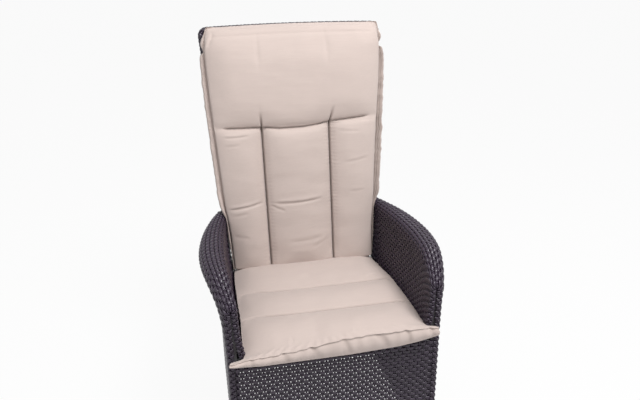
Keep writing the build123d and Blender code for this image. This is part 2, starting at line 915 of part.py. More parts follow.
def pivot_nut():
    """Lock nut on the bolt's inner end."""
    inside = tube_half_foot - back_tube_radius - flange_gap - nut_height
    plane = Plane(origin=(inside, pivot.Y, pivot.Z), z_dir=(1, 0, 0))
    ring = RegularPolygon(bolt_head_width / 2, 6, major_radius=False) - Circle(
        pivot_bolt_diameter / 2
    )
    return extrude(plane * ring, nut_height).solid()


def hinge_ear():
    """Upright plate welded to the seat rail, bored for the pivot bolt."""
    plane = Plane(origin=(ear_face, 0, 0), x_dir=(0, 1, 0), z_dir=(1, 0, 0))
    low = rail_height(pivot.Y) - ear_tail
    round_end = Pos(pivot.Y, pivot.Z) * Circle(ear_radius)
    foot = Pos(pivot.Y, low) * Rectangle(
        ear_width, seam_gap, align=(Align.CENTER, Align.MIN)
    )
    outline = make_hull(round_end.edges() + foot.edges())
    outline -= Pos(pivot.Y, pivot.Z) * Circle(pivot_bolt_diameter / 2 + running_gap)
    plate = extrude(plane * outline, ear_thickness)
    return (plate - seat_rail_body(1)).solids().sort_by(lambda s: s.volume)[-1]


def lever_plates():
    """Two plates from the lower back bar down to the gas spring's rear eye."""
    bar = back_plane.from_local_coords(Vector(0, lower_bar_run, back_tube_depth))
    root = Pos(bar.Y, bar.Z) * Circle(lever_root_radius)
    end = Pos(lever_pin.Y, lever_pin.Z) * Circle(lever_end_radius)
    outline = make_hull(root.edges() + end.edges())
    outline -= Pos(bar.Y, bar.Z) * Circle(back_tube_radius)
    outline -= Pos(lever_pin.Y, lever_pin.Z) * Circle(lever_pin_diameter / 2)
    inner = eye_width / 2 + lever_gap
    plane = Plane(origin=(inner, 0, 0), x_dir=(0, 1, 0), z_dir=(1, 0, 0))
    return pair(extrude(plane * outline, lever_plate))


def lever_pin_piece():
    """Headed pin through the lever plates and the spring's rear eye."""
    half = eye_width / 2 + lever_gap + lever_plate
    y, z = lever_pin.Y, lever_pin.Z
    shank = round_bar(Vector(-half, y, z), Vector(half, y, z), lever_pin_diameter)
    for sign in (-1, 1):
        shank += round_bar(
            Vector(sign * half, y, z),
            Vector(sign * (half + screw_head), y, z),
            bolt_head_width,
        )
    return shank.solid()


def spring_bar(start_y, end_y, diameter):
    """Round bar on the gas spring's axis."""
    return round_bar(Vector(0, start_y, spring_z), Vector(0, end_y, spring_z), diameter)


eye_radius = lever_pin_diameter / 2 + lever_pin_play + eye_wall
cylinder_rear = lever_pin.Y - eye_radius - cylinder_cap
cylinder_front = cylinder_rear - cylinder_length


def gas_cylinder():
    """Cylinder of the gas spring, closed behind, with a bored rod guide in front."""
    bore = cylinder_diameter - 2 * cylinder_wall
    body = spring_bar(cylinder_front, cylinder_rear, cylinder_diameter)
    body = fillet(body.edges().filter_by(GeomType.CIRCLE), cylinder_wall)
    body -= spring_bar(cylinder_front + cylinder_guide, cylinder_rear - cylinder_cap, bore)
    return (body - spring_bar(
        cylinder_front - overrun, cylinder_front + overrun, rod_diameter + 2 * running_gap
    )).solid()


def cylinder_eye():
    """Rear eye of the gas spring, with a wide bore for the lever pin's small arc."""
    y = lever_pin.Y
    neck = spring_bar(cylinder_rear, y, neck_diameter)
    ring = round_bar(
        Vector(-eye_width / 2, y, spring_z), Vector(eye_width / 2, y, spring_z), 2 * eye_radius
    )
    bore = round_bar(
        Vector(-eye_width, y, spring_z),
        Vector(eye_width, y, spring_z),
        lever_pin_diameter + 2 * lever_pin_play,
    )
    return (neck + ring - bore).solid()


def gas_rod():
    """Piston rod, fixed in the release head and bored for the release pin."""
    end = cylinder_front + cylinder_guide + rod_inside
    rod = spring_bar(rod_end_y - head_length / 2, end, rod_diameter)
    bore = cylinder_diameter - 2 * cylinder_wall - 2 * piston_gap
    rod += spring_bar(end - piston_length, end, bore)
    pin_end = rod_end_y - head_length - release_pin_stand + release_pin_inside
    hole = release_pin_diameter + 2 * head_bore_gap
    return (rod - spring_bar(
        rod_end_y - head_length, pin_end + release_press + running_gap, hole
    )).solid()


head_front = rod_end_y - head_length


def release_head():
    """Block that holds the rod, with the pin's bore open at its front."""
    block = Pos(0, head_front, spring_z) * Box(
        head_width, head_length, head_height, align=(Align.CENTER, Align.MIN, Align.CENTER)
    )
    block = chamfer(block.edges().filter_by(Axis.Y), head_edge)
    block -= spring_bar(rod_end_y - head_length / 2, rod_end_y, rod_diameter)
    hole = release_pin_diameter + 2 * head_bore_gap
    block -= spring_bar(head_front, rod_end_y, hole)
    for sign in (-1, 1):
        block -= head_screw_shank(sign)
    return block.solid()


def head_screw_shank(sign):
    """Shank of one of the release head's screws."""
    y, z = rod_end_y - head_length / 2, spring_z
    outside = head_width / 2 + bracket_gap + bracket_plate
    return round_bar(
        Vector(sign * (head_width / 2 - screw_reach), y, z),
        Vector(sign * outside, y, z),
        screw_diameter,
    )


def head_screws():
    """Two screws that hold the release head between the bracket's plates."""
    y, z = rod_end_y - head_length / 2, spring_z
    outside = head_width / 2 + bracket_gap + bracket_plate
    head = round_bar(
        Vector(outside, y, z), Vector(outside + screw_head, y, z), screw_head_diameter
    )
    return pair(head_screw_shank(1) + head)


def release_pin():
    """Pin that opens the gas spring's valve."""
    start = head_front - release_pin_stand
    pin = spring_bar(start, start + release_pin_inside, release_pin_diameter)
    return pin.solid()


shaft_y = head_front - release_pin_stand - finger_gap - finger_thickness / 2
shaft_z = spring_z - finger_radius


def spring_bracket():
    """Two plates hung from the spring rail: they hold the head and carry the shaft."""
    inner = head_width / 2 + bracket_gap
    top = rail_height(spring_rail_y)
    low = shaft_z - bracket_foot
    front = min(shaft_y - bracket_foot, spring_rail_y - rail_radius)
    rear = rod_end_y + bracket_rear_run
    plane = Plane(origin=(inner, 0, 0), x_dir=(0, 1, 0), z_dir=(1, 0, 0))
    outline = Pos(front, low) * Rectangle(
        rear - front, top - low, align=(Align.MIN, Align.MIN)
    )
    outline = fillet(outline.vertices().group_by(Axis.Y)[0], bracket_foot / 2)
    outline -= Pos(shaft_y, shaft_z) * Circle(shaft_diameter / 2 + running_gap)
    outline -= Pos(rod_end_y - head_length / 2, spring_z) * Circle(screw_diameter / 2)
    plate = extrude(plane * outline, bracket_plate)
    rail = round_bar(
        Vector(-half_base, spring_rail_y, top), Vector(half_base, spring_rail_y, top),
        rail_diameter,
    )
    return pair((plate - rail).solids().sort_by(lambda s: s.volume)[-1])


handle_face = half_base + grommet_lip + handle_gap


def release_shaft():
    """Cross shaft from the handle to the finger that presses the release pin."""
    inside = -(head_width / 2 + bracket_gap + bracket_plate)
    start = Vector(inside, shaft_y, shaft_z)
    end = Vector(handle_face + shaft_socket, shaft_y, shaft_z)
    shaft = round_bar(start, end, shaft_diameter)
    finger = Pos(0, shaft_y, shaft_z) * Box(
        finger_width, finger_thickness, finger_radius + release_pin_diameter,
        align=(Align.CENTER, Align.CENTER, Align.MIN),
    )
    top = finger.edges().filter_by(Axis.X).group_by(Axis.Z)[-1]
    finger = fillet(top, finger_thickness / 2 - seam_gap)
    return (shaft + finger).solid()


def shaft_bearing():
    """Bearing block hung from the right seat rail for the release shaft."""
    top = rail_height(shaft_y)
    low = shaft_z - bearing_foot
    block = Pos(seat_rail_offset, shaft_y, low) * Box(
        bearing_length, bearing_width, top - low, align=(Align.CENTER, Align.CENTER, Align.MIN)
    )
    block = fillet(block.edges().filter_by(Axis.X).group_by(Axis.Z)[0], bearing_foot / 2)
    hole = round_bar(
        Vector(0, shaft_y, shaft_z), Vector(half_base, shaft_y, shaft_z),
        shaft_diameter + 2 * running_gap,
    )
    return (block - hole - seat_rail_body(1)).solids().sort_by(lambda s: s.volume)[-1]


def shaft_hole(diameter):
    """Bar through the right outer panel on the release shaft's axis."""
    return round_bar(
        Vector(half_base - overrun, shaft_y, shaft_z),
        Vector(half_base + overrun, shaft_y, shaft_z),
        diameter,
    )


def shaft_grommet():
    """Grommet in the right outer panel round the release shaft."""
    start = Vector(half_base - weave - grommet_lip, shaft_y, shaft_z)
    neck = Vector(half_base, shaft_y, shaft_z)
    end = Vector(half_base + grommet_lip, shaft_y, shaft_z)
    sleeve = round_bar(start, neck, shaft_diameter + 2 * (running_gap + grommet_wall))
    lip = round_bar(neck, end, grommet_diameter)
    rim = lip.edges().filter_by(GeomType.CIRCLE).sort_by(Axis.X)[-1]
    lip = fillet(rim, grommet_lip / 2)
    return (sleeve + lip - shaft_hole(shaft_diameter + 2 * running_gap)).solid()


def release_handle():
    """Handle outside the right panel: a round hub and a tapering paddle to the front."""
    hub = Pos(shaft_y, shaft_z) * Circle(handle_hub_diameter / 2)
    tip = Pos(shaft_y - handle_length, shaft_z - handle_dip) * Circle(handle_tip_diameter / 2)
    outline = make_hull(hub.edges() + tip.edges())
    plane = Plane(origin=(handle_face, 0, 0), x_dir=(0, 1, 0), z_dir=(1, 0, 0))
    body = extrude(plane * outline, handle_thickness)
    rims = body.edges().group_by(Axis.X)
    body = fillet(list(rims[0]) + list(rims[-1]), handle_edge)
    socket = round_bar(
        Vector(handle_face, shaft_y, shaft_z),
        Vector(handle_face + shaft_socket, shaft_y, shaft_z),
        shaft_diameter,
    )
    return (body - socket).solid()


def right_outer_panel():
    """Right outer panel, bored for the release shaft's grommet."""
    bore = shaft_diameter + 2 * (running_gap + grommet_wall)
    return (outer_panel() - shaft_hole(bore)).solid()


def both_sides(name, piece):
    """A piece of the right side and its mirror image on the left, as two nodes."""
    return {f"{name}_right": piece, f"{name}_left": mirror(piece, about=Plane.YZ)}


def build():
    """Every node of the chair by name."""
    nodes = {}
    nodes.update(both_sides("front_post", post(front_post_x, front_post_y, front_post_top)))
    nodes.update(both_sides("rear_post", post(rear_post_x, rear_post_y, rear_post_top)))
    nodes.update(both_sides("arm_tube", arm_tube()))
    nodes.update(both_sides("base_rail", base_rail()))
    nodes.update(both_sides("seat_rail", seat_rail()))
    nodes["front_base_rail"] = cross_base_rail(front_post_y, front_post_x)
    nodes["rear_base_rail"] = cross_base_rail(rear_post_y, rear_post_x)
    nodes["front_seat_rail"] = front_seat_rail()
    nodes["rear_seat_rail"] = cross_rail(rear_rail_y)
    nodes["spring_rail"] = cross_rail(spring_rail_y)
    nodes["foot_glides"] = foot_glides()
    nodes["seat_deck"] = seat_deck()
    nodes["outer_panel_right"] = right_outer_panel()
    nodes["outer_panel_left"] = mirror(outer_panel(), about=Plane.YZ)
    nodes.update(both_sides("arm_top", arm_top()))
    nodes.update(both_sides("inner_panel", inner_panel()))
    nodes.update(both_sides("front_cover", front_cover()))
    nodes.update(both_sides("rear_cover", rear_cover()))
    nodes["front_apron"] = front_apron()
    nodes["rear_apron"] = rear_apron()
    nodes.update(both_sides("hinge_ear", hinge_ear()))
    nodes["pivot_bolts"] = pair(pivot_bolt())
    nodes["pivot_nuts"] = pair(pivot_nut())
    nodes["pivot_bushes"] = pair(pivot_bush())
    nodes["back_frame"] = back_frame()
    nodes["back_lower_bar"] = back_bar(lower_bar_run)
    nodes["back_middle_bar"] = back_bar(middle_bar_run)
    nodes["back_shell"] = back_shell()
    nodes["back_front"] = back_front()
    nodes["back_cushion"] = back_cushion()
    nodes["lever_plates"] = lever_plates()
    nodes["lever_pin"] = lever_pin_piece()
    nodes["gas_cylinder"] = gas_cylinder()
    nodes["cylinder_eye"] = cylinder_eye()
    nodes["gas_rod"] = gas_rod()
    nodes["release_head"] = release_head()
    nodes["head_screws"] = head_screws()
    nodes["release_pin"] = release_pin()
    nodes["spring_bracket"] = spring_bracket()
    nodes["release_shaft"] = release_shaft()
    nodes["shaft_bearing"] = shaft_bearing()
    nodes["shaft_grommet"] = shaft_grommet()
    nodes["release_handle"] = release_handle()
    nodes["seat_cushion"] = seat_cushion()
    return nodes


os.makedirs("parts", exist_ok=True)
for node, piece in build().items():
    export_step(piece, f"parts/{node}.step")
print("pivot", pivot, "spring axis height", spring_z, "stroke", spring_stroke)
print("lever pin", lever_pin, "shaft", shaft_y, shaft_z)
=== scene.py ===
"""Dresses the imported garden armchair: woven strand, padded cushions and the frame's finishes."""
import json
from math import cos, exp, pi, radians, sin, tan

import bpy
import numpy as np
from mathutils import Matrix, Vector, noise


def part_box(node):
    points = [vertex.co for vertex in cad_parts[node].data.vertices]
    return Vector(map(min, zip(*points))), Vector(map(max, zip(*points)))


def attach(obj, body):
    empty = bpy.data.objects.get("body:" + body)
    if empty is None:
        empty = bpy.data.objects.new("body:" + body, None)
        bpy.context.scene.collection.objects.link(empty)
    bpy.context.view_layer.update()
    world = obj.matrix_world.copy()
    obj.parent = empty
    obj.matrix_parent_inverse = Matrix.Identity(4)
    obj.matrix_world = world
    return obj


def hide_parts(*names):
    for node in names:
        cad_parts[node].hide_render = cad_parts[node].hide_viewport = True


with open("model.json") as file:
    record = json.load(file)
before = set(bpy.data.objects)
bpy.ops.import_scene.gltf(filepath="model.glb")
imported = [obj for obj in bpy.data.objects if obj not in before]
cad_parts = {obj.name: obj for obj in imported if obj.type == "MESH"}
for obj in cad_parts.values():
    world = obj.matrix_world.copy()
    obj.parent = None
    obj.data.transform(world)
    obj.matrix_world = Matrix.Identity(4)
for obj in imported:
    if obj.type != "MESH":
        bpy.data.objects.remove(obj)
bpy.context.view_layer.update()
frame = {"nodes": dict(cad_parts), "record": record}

bl_info = {
    "name": "Reclining Garden Armchair",
    "version": (1, 0, 0),
    "blender": (4, 5, 0),
    "location": "View3D > Sidebar > Armchair",
    "description": "Weaves, upholsters and finishes a packed reclining garden armchair",
    "category": "Object",
}

# Arm and base, in metres, as in the part's source
HALF_BASE = 0.268
SIDE_FRONT, SIDE_DEPTH = -0.304, 0.534
SIDE_REAR = SIDE_FRONT + SIDE_DEPTH
ARM_HEIGHT, ARM_BOW = 0.609, 0.048
FRONT_DROP, FRONT_SHARE = 0.043, 0.25
REAR_DROP, CREST_SHARE, REAR_POWER = 0.024, 0.28, 1.6
BOW_PEAK, BOW_TUCK, BOW_TUCK_POWER = 0.85, 0.275, 8.0
INNER_FRONT, INNER_REAR, INNER_BOW = 0.236, 0.2265, 0.020
OUTER_DROP, INNER_DROP = 0.028, 0.020
PANEL_BOTTOM, FLARE_START = 0.030, 0.370
FLARE_PULL, INNER_SWEEP = 0.62, 0.38
HALF_GAP = 0.220
PIVOT = Vector((0.0, 0.191185, 0.384563))
NOTCH_TOP = PIVOT.z + 0.019

# Seat and back planes
CREASE = Vector((0.0, 0.132, 0.425))
SEAT_TILT, BACK_LEAN = radians(3.9), radians(9.6)
SEAT_THICK, BACK_THICK = 0.055, 0.050
CUSHION_GAP = 0.0003
BACK_LENGTH = 0.710
BACK_HALF_TOP, BACK_HALF_FOOT, BACK_STRAIGHT = 0.268, 0.214, 0.030
BACK_FOOT = -0.005
BACK_DEPTH = 0.0296
BACK_CORNER, BACK_EDGE = 0.020, 0.009
BACK_TOP, BACK_ARCH = BACK_LENGTH + 0.004, 0.005
BACK_FACE = -(BACK_THICK + CUSHION_GAP)


def plane_matrix(origin, x_dir, z_dir):
    """Matrix that takes a plane's own coordinates to the chair's."""
    y_dir = z_dir.cross(x_dir)
    turn = Matrix((x_dir, y_dir, z_dir)).transposed().to_4x4()
    return Matrix.Translation(origin) @ turn


SEAT_PLANE = plane_matrix(CREASE, Vector((1, 0, 0)), Vector((0, sin(SEAT_TILT), cos(SEAT_TILT))))
BACK_PLANE = plane_matrix(CREASE, Vector((1, 0, 0)), Vector((0, -cos(BACK_LEAN), sin(BACK_LEAN))))


# Settings a user would change
class ArmchairWeaveSettings(bpy.types.PropertyGroup):
    """Sizes and colour of the woven strand."""

    strand_width: bpy.props.FloatProperty(
        name="Strand width", description="Width of one strand", default=0.0094, unit="LENGTH")
    strand_thickness: bpy.props.FloatProperty(
        name="Strand thickness", description="Thickness of one strand", default=0.0030,
        unit="LENGTH")
    row_pitch: bpy.props.FloatProperty(
        name="Row pitch", description="Distance from row to row", default=0.0096, unit="LENGTH")
    stake_pitch: bpy.props.FloatProperty(
        name="Stake pitch", description="Distance from stake to stake", default=0.0105,
        unit="LENGTH")
    wave_height: bpy.props.FloatProperty(
        name="Wave height", description="How far a strand rises over a stake", default=0.0024,
        unit="LENGTH")
    unevenness: bpy.props.FloatProperty(
        name="Unevenness", description="How far a strand strays from its row", default=0.0005,
        unit="LENGTH")
    strand_colour: bpy.props.FloatVectorProperty(
        name="Strand colour", description="Colour of the strand", subtype="COLOR", size=3,
        default=(0.0205, 0.0120, 0.0245))


class ArmchairCushionSettings(bpy.types.PropertyGroup):
    """Cover and filling of the two cushions."""

    cover_colour: bpy.props.FloatVectorProperty(
        name="Cover colour", description="Colour of the cushion covers", subtype="COLOR", size=3,
        default=(0.515, 0.428, 0.392))
    pressure: bpy.props.FloatProperty(
        name="Filling pressure", description="Pressure that the filling puts on the cover",
        default=4.0)


class ArmchairStageSettings(bpy.types.PropertyGroup):
    """Light and floor of the stage."""

    floor_size: bpy.props.FloatProperty(
        name="Floor size", description="Side of the floor", default=60.0, unit="LENGTH")
    key_power: bpy.props.FloatProperty(
        name="Key light", description="Power of the key light", default=86.0, unit="POWER")
    fill_strength: bpy.props.FloatProperty(
        name="Fill light", description="Strength of the light from all round", default=0.40)


def new_object(name, data):
    """An object with that data, linked to the scene."""
    made = bpy.data.objects.new(name, data)
    bpy.context.scene.collection.objects.link(made)
    return made


def made_once(store, name, make):
    """The data block of that name in a store, made if it isn't there yet."""
    return store.get(name) or make()


# Node trees as expressions
class Value:
    """A node socket that can stand in a sum."""

    def __init__(self, tree, socket):
        self.tree, self.socket = tree, socket

    def maths(self, operation, *others):
        """A Math node on this socket and others."""
        return add_node(self.tree, "ShaderNodeMath", {"operation": operation},
                        dict(enumerate((self, *others))))[0]

    def __add__(self, other):
        return self.maths("ADD", other)

    __radd__ = __add__

    def __sub__(self, other):
        return self.maths("SUBTRACT", other)

    def __rsub__(self, other):
        return (self * -1) + other

    def __mul__(self, other):
        return self.maths("MULTIPLY", other)

    __rmul__ = __mul__

    def __truediv__(self, other):
        return self.maths("DIVIDE", other)

    def __pow__(self, other):
        return self.maths("POWER", other)


class Outputs:
    """The output sockets of a node, by name or number."""

    def __init__(self, tree, node):
        self.tree, self.node = tree, node

    def __getitem__(self, key):
        return Value(self.tree, self.node.outputs[key])


def add_node(tree, kind, settings=None, inputs=None):
    """A node of a kind, with its settings made first and then its sockets."""
    node = tree.nodes.new(kind)
    for name, value in (settings or {}).items():
        setattr(node, name, value)
    for key, value in (inputs or {}).items():
        if isinstance(value, Value):
            tree.links.new(value.socket, node.inputs[key])
        else:
            node.inputs[key].default_value = value
    return Outputs(tree, node)


# Materials: the cover's thread, its slubs along three axes and the tint and share of the painted
# shade in its seams, creases and grooves
THREAD_PITCH = 0.0011
SLUB_SCALE = (26.0, 300.0, 300.0)
SEAM_SHADE_TINT = (0.16, 0.13, 0.11)
SEAM_SHADE_SHARE = 0.78


def new_material(name, colour, roughness, metallic=0.0):
    """A material, its node tree and its Principled shader with the values that it starts from."""
    material = bpy.data.materials.new(name)
    material.use_nodes = True
    tree = material.node_tree
    shader = next(n for n in tree.nodes if n.type == "BSDF_PRINCIPLED")
    shader.inputs["Base Color"].default_value = (*colour, 1.0)
    shader.inputs["Roughness"].default_value = roughness
    shader.inputs["Metallic"].default_value = metallic
    return material, tree, shader


def link_to(tree, value, shader, name):
    """Links a value to one of the shader's sockets."""
    tree.links.new(value.socket, shader.inputs[name])


def place_of(tree):
    """The surface point in the piece's own coordinates."""
    return add_node(tree, "ShaderNodeTexCoord")["Object"]


def spots(tree, place, scale, detail=3.0, roughness=0.55):
    """Noise at a scale, from 0 to 1."""
    return add_node(tree, "ShaderNodeTexNoise", {}, {
        "Vector": place, "Scale": scale, "Detail": detail, "Roughness": roughness})["Fac"]


def blend_colours(tree, share, first, second):
    """A mix of two colours."""
    return add_node(tree, "ShaderNodeMix", {"data_type": "RGBA"}, {
        0: share, 6: first, 7: second})[2]


def shade_of(colour, factor):
    """A colour made lighter or darker, with alpha."""
    return tuple(min(1.0, c * factor) for c in colour) + (1.0,)


def bump(tree, height, strength, distance):
    """A Bump node's normal."""
    return add_node(tree, "ShaderNodeBump", {}, {
        "Strength": strength, "Distance": distance, "Height": height})["Normal"]


def strand_material(colour):
    """Flat synthetic strand: dark, a little glossy, finely ribbed along its length."""
    material, tree, shader = new_material("woven strand", colour, 0.42)
    place = place_of(tree)
    own = add_node(tree, "ShaderNodeAttribute", {"attribute_name": "shade"})["Fac"]
    drift = spots(tree, place, 9.0)
    fine = spots(tree, place, 420.0, 2.0)
    share = own * 0.5 + drift * 0.35 + fine * 0.3
    link_to(tree, blend_colours(tree, share, shade_of(colour, 0.62), shade_of(colour, 1.55)),
            shader, "Base Color")
    link_to(tree, 0.26 + fine * 0.16, shader, "Roughness")
    link_to(tree, bump(tree, spots(tree, place, 900.0, 2.0), 0.25, 0.0004), shader, "Normal")
    shader.inputs["Specular IOR Level"].default_value = 0.48
    return material


def cover_material(colour):
    """Plain woven cushion cover: beige, matt, slubbed both ways, darkened by painted shade in its
    seams.
    """
    material, tree, shader = new_material("cushion cover", colour, 0.88)
    place = place_of(tree)
    axes = add_node(tree, "ShaderNodeSeparateXYZ", {}, {0: place})
    turn = 2 * pi / THREAD_PITCH
    warp = (axes["X"] * turn).maths("SINE")
    weft = ((axes["Z"] * 0.92 - axes["Y"] * 0.92) * turn).maths("SINE")
    cloth = warp * 0.25 + weft * 0.25 + 0.5
    slub = spots(tree, add_node(tree, "ShaderNodeVectorMath", {"operation": "MULTIPLY"}, {
        0: place, 1: SLUB_SCALE})[0], 1.0)
    drift = spots(tree, place, 14.0, 4.0)
    share = slub * 0.45 + drift * 0.35 + cloth * 0.2
    plain = blend_colours(tree, share, shade_of(colour, 0.90), shade_of(colour, 1.10))
    # painted shade: the cover's colour darkens towards a shade tint in the pads' seams, creases and
    # grooves
    crease_shading = add_node(tree, "ShaderNodeAttribute", {"attribute_name": "painted_crease_shade"})["Fac"]
    dark = tuple(c * tint for c, tint in zip(colour, SEAM_SHADE_TINT)) + (1.0,)
    link_to(tree, blend_colours(tree, crease_shading * SEAM_SHADE_SHARE, plain, dark), shader, "Base Color")
    link_to(tree, 0.80 + slub * 0.15, shader, "Roughness")
    link_to(tree, bump(tree, cloth * 0.5 + slub * 0.8, 0.35, 0.0005), shader, "Normal")
    shader.inputs["Sheen Weight"].default_value = 0.25
    shader.inputs["Sheen Roughness"].default_value = 0.5
    return material


def metal_material(name, colour, roughness, metallic, grain):
    """Painted or bare metal, or plain nylon, with faint grain and handling marks."""
    material, tree, shader = new_material(name, colour, roughness, metallic)
    place = place_of(tree)
    marks = spots(tree, place, 35.0, 4.0)
    fine = spots(tree, place, grain, 2.0)
    link_to(tree, blend_colours(tree, marks, shade_of(colour, 0.85), shade_of(colour, 1.12)),
            shader, "Base Color")
    link_to(tree, roughness * 0.8 + marks * 0.12 + fine * 0.12, shader, "Roughness")
    link_to(tree, bump(tree, fine, 0.15, 0.0003), shader, "Normal")
    return material


# Guide surfaces of the arms: the gap over the deck, the notch for the back's pivot, the wrapped ends
FOOT_GAP = 0.001
NOTCH_GAP, NOTCH_START, NOTCH_RUN = 0.002, 0.140, 0.030
WRAP_RADIUS, WRAP_FACE, WRAP_DIP, WRAP_REACH = 0.007, 0.0125, 0.004, 0.0155
WRAP_STEPS, SIDE_STEPS = 7, 40


def bow(share):
    """How far the arm bows out past the base."""
    return ARM_BOW * (sin(pi * share**BOW_PEAK) - BOW_TUCK * share**BOW_TUCK_POWER)


def crest(share):
    """Height of the arm's top."""
    front = max(0.0, 1 - share / FRONT_SHARE)
    rear = max(0.0, (share - CREST_SHARE) / (1 - CREST_SHARE))
    return ARM_HEIGHT - FRONT_DROP * front**2 - REAR_DROP * rear**REAR_POWER


def inner_edge(share):
    """Distance of the arm top's inner edge from the middle."""
    edge = INNER_FRONT + (INNER_REAR - INNER_FRONT) * share
    return edge + INNER_BOW * max(0.0, sin(pi * share**BOW_PEAK))


def deck_top(y):
    """Height of the seat deck's top."""
    return CREASE.z + (CREASE.y - y) * tan(SEAT_TILT) - (SEAT_THICK + CUSHION_GAP) / cos(SEAT_TILT)


def run_points(points, count=14):
    """Points along a straight run, or along a smooth one pulled by its middle point."""
    points = [np.array(p, float) for p in points]
    shares = np.linspace(0, 1, count)[:, None]
    if len(points) == 2:
        return points[0] * (1 - shares) + points[1] * shares
    first, pull, last = points
    return first * (1 - shares) ** 2 + pull * 2 * shares * (1 - shares) + last * shares**2


def evenly(points, count):
    """The same line as count + 1 points at even distances, and its length."""
    points = np.array(points, float)
    steps = np.linalg.norm(np.diff(points, axis=0), axis=1)
    along = np.concatenate(([0.0], np.cumsum(steps)))
    places = np.linspace(0, along[-1], count + 1)
    axes = [np.interp(places, along, points[:, k]) for k in range(points.shape[1])]
    return np.stack(axes, axis=1), along[-1]


def share_at(y):
    """Share of the side's depth at a given y."""
    return min(1.0, max(0.0, (y - SIDE_FRONT) / SIDE_DEPTH))


def outer_section(y, inset):
    """The outer side's section, from its foot up to the arm's top, in x and z."""
    share = share_at(y)
    top = crest(share) - OUTER_DROP
    knee = FLARE_START + FLARE_PULL * (top - FLARE_START)
    base, edge = HALF_BASE - inset, HALF_BASE + bow(share) - inset
    return np.vstack([
        run_points([(base, PANEL_BOTTOM), (base, FLARE_START)]),
        run_points([(base, FLARE_START), (base, knee), (edge, top)])[1:],
    ])


def top_section(y, inset):
    """The arm top's section, from the outer side over to the inner one."""
    share = share_at(y)
    outer, inner = HALF_BASE + bow(share) - inset, inner_edge(share) + inset
    height = crest(share)
    top = height - inset
    middle = (outer + inner) / 2
    return np.vstack([
        run_points([(outer, height - OUTER_DROP), (outer, top), (middle, top)]),
        run_points([(middle, top), (inner, top), (inner, height - INNER_DROP)])[1:],
    ])


def inner_section(y, inset):
    """The inner side's section, from the arm's top down to the seat."""
    share = share_at(y)
    foot = deck_top(y) + FOOT_GAP
    foot += (NOTCH_TOP + NOTCH_GAP - foot) * smooth_step((y - NOTCH_START) / NOTCH_RUN)
    top = crest(share) - INNER_DROP
    edge = inner_edge(share) + inset
    knee = foot + INNER_SWEEP * (top - foot)
    return run_points([(edge, top), (edge, knee), (HALF_GAP + inset, foot)], 20)


def smooth_step(x):
    """Rises smoothly from 0 to 1 while x does."""
    x = min(1.0, max(0.0, x))
    return x * x * (3 - 2 * x)


def side_stations(count):
    """Stations from one end's groove round the corner, along the side and round the other end."""
    r = WRAP_RADIUS
    front, rear = SIDE_FRONT, SIDE_REAR
    turn = [(r * (1 - cos(a)), r * (1 - sin(a))) for a in np.linspace(0, pi / 2, WRAP_STEPS)]
    path = [(front + WRAP_DIP, WRAP_REACH), (front, WRAP_FACE)]
    path += [(front + gap, inset) for inset, gap in turn[::-1]]
    path += [(front + r + (rear - front - 2 * r) * k / SIDE_STEPS, 0.0)
             for k in range(1, SIDE_STEPS)]
    path += [(rear - gap, inset) for inset, gap in turn]
    path += [(rear, WRAP_FACE), (rear - WRAP_DIP, WRAP_REACH)]
    return evenly(path, count)


def side_guide(section, sign, count=96, up=24):
    """Grid of points of one arm surface, and its two real lengths."""
    stations, length = side_stations(count)
    rows, heights = [], []
    for y, inset in stations:
        line, height = evenly(section(y, inset), up)
        rows.append([(sign * x, y, z) for x, z in line])
        heights.append(height)
    return np.array(rows), length, float(np.mean(heights))


def flat_guide(corner, along, across, steps=2):
    """Grid of a flat surface from a corner and its two edge vectors."""
    corner, along, across = Vector(corner), Vector(along), Vector(across)
    grid = [[tuple(corner + along * (i / steps) + across * (j / steps)) for j in range(steps + 1)]
            for i in range(steps + 1)]
    return np.array(grid), along.length, across.length


# Guide surfaces of the back: where its rounded top starts and the rim's edges on both faces
ARCH_START, ARCH_RUN = 0.66, 0.05
RIM_STEPS, CORNER_STEPS, EDGE_STEPS, DEPTH_STEPS = 150, 12, 5, 14
RIM_FRONT_REACH, RIM_REAR_REACH, RIM_LIP = 0.010, 0.023, 0.004


def back_half(height, inset=0.0):
    """Half width of the woven back at a height up the back."""
    rise = max(0.0, height - BACK_STRAIGHT) / (BACK_LENGTH - BACK_STRAIGHT)
    return BACK_HALF_FOOT + (BACK_HALF_TOP - BACK_HALF_FOOT) * rise - inset


def back_rim_line(inset):
    """Outline of the back from one foot over the top to the other, drawn in by an inset."""
    radius = BACK_CORNER - inset
    top = BACK_TOP - inset
    centre_x = back_half(BACK_LENGTH - BACK_CORNER, inset) - radius
    centre_v = top - radius
    line = [(back_half(v, inset), v) for v in (BACK_FOOT, BACK_STRAIGHT)]
    line += [(centre_x + radius * cos(a), centre_v + radius * sin(a))
             for a in np.linspace(0.05, pi / 2, CORNER_STEPS)]
    line += [(-x, v) for x, v in line[::-1]]
    line, _ = evenly(line, RIM_STEPS)
    high = np.clip((line[:, 1] - ARCH_START) / ARCH_RUN, 0, 1)
    line[:, 1] += BACK_ARCH * ((1 - (line[:, 0] / BACK_HALF_TOP) ** 2) * high)
    return line


def back_rim_guide(count=190):
    """Grid round the back's rim, from its front face over the side to its rear face."""
    front, rear = BACK_FACE, BACK_FACE - BACK_DEPTH
    turn = np.linspace(0, pi / 2, EDGE_STEPS)
    depth_line = [(RIM_FRONT_REACH, front)]
    depth_line += [(RIM_LIP * (1 - sin(a)), front - RIM_LIP * (1 - cos(a))) for a in turn]
    depth_line += [(BACK_EDGE * (1 - cos(a)), rear + BACK_EDGE * (1 - sin(a))) for a in turn]
    depth_line += [(RIM_REAR_REACH, rear)]
    rings, depth = evenly(depth_line, DEPTH_STEPS)
    columns = []
    length = 0.0
    for inset, z in rings:
        line, length = evenly(back_rim_line(inset), count)
        columns.append([tuple(BACK_PLANE @ Vector((x, v, z))) for x, v in line])
    return np.array(columns).transpose(1, 0, 2), length, depth


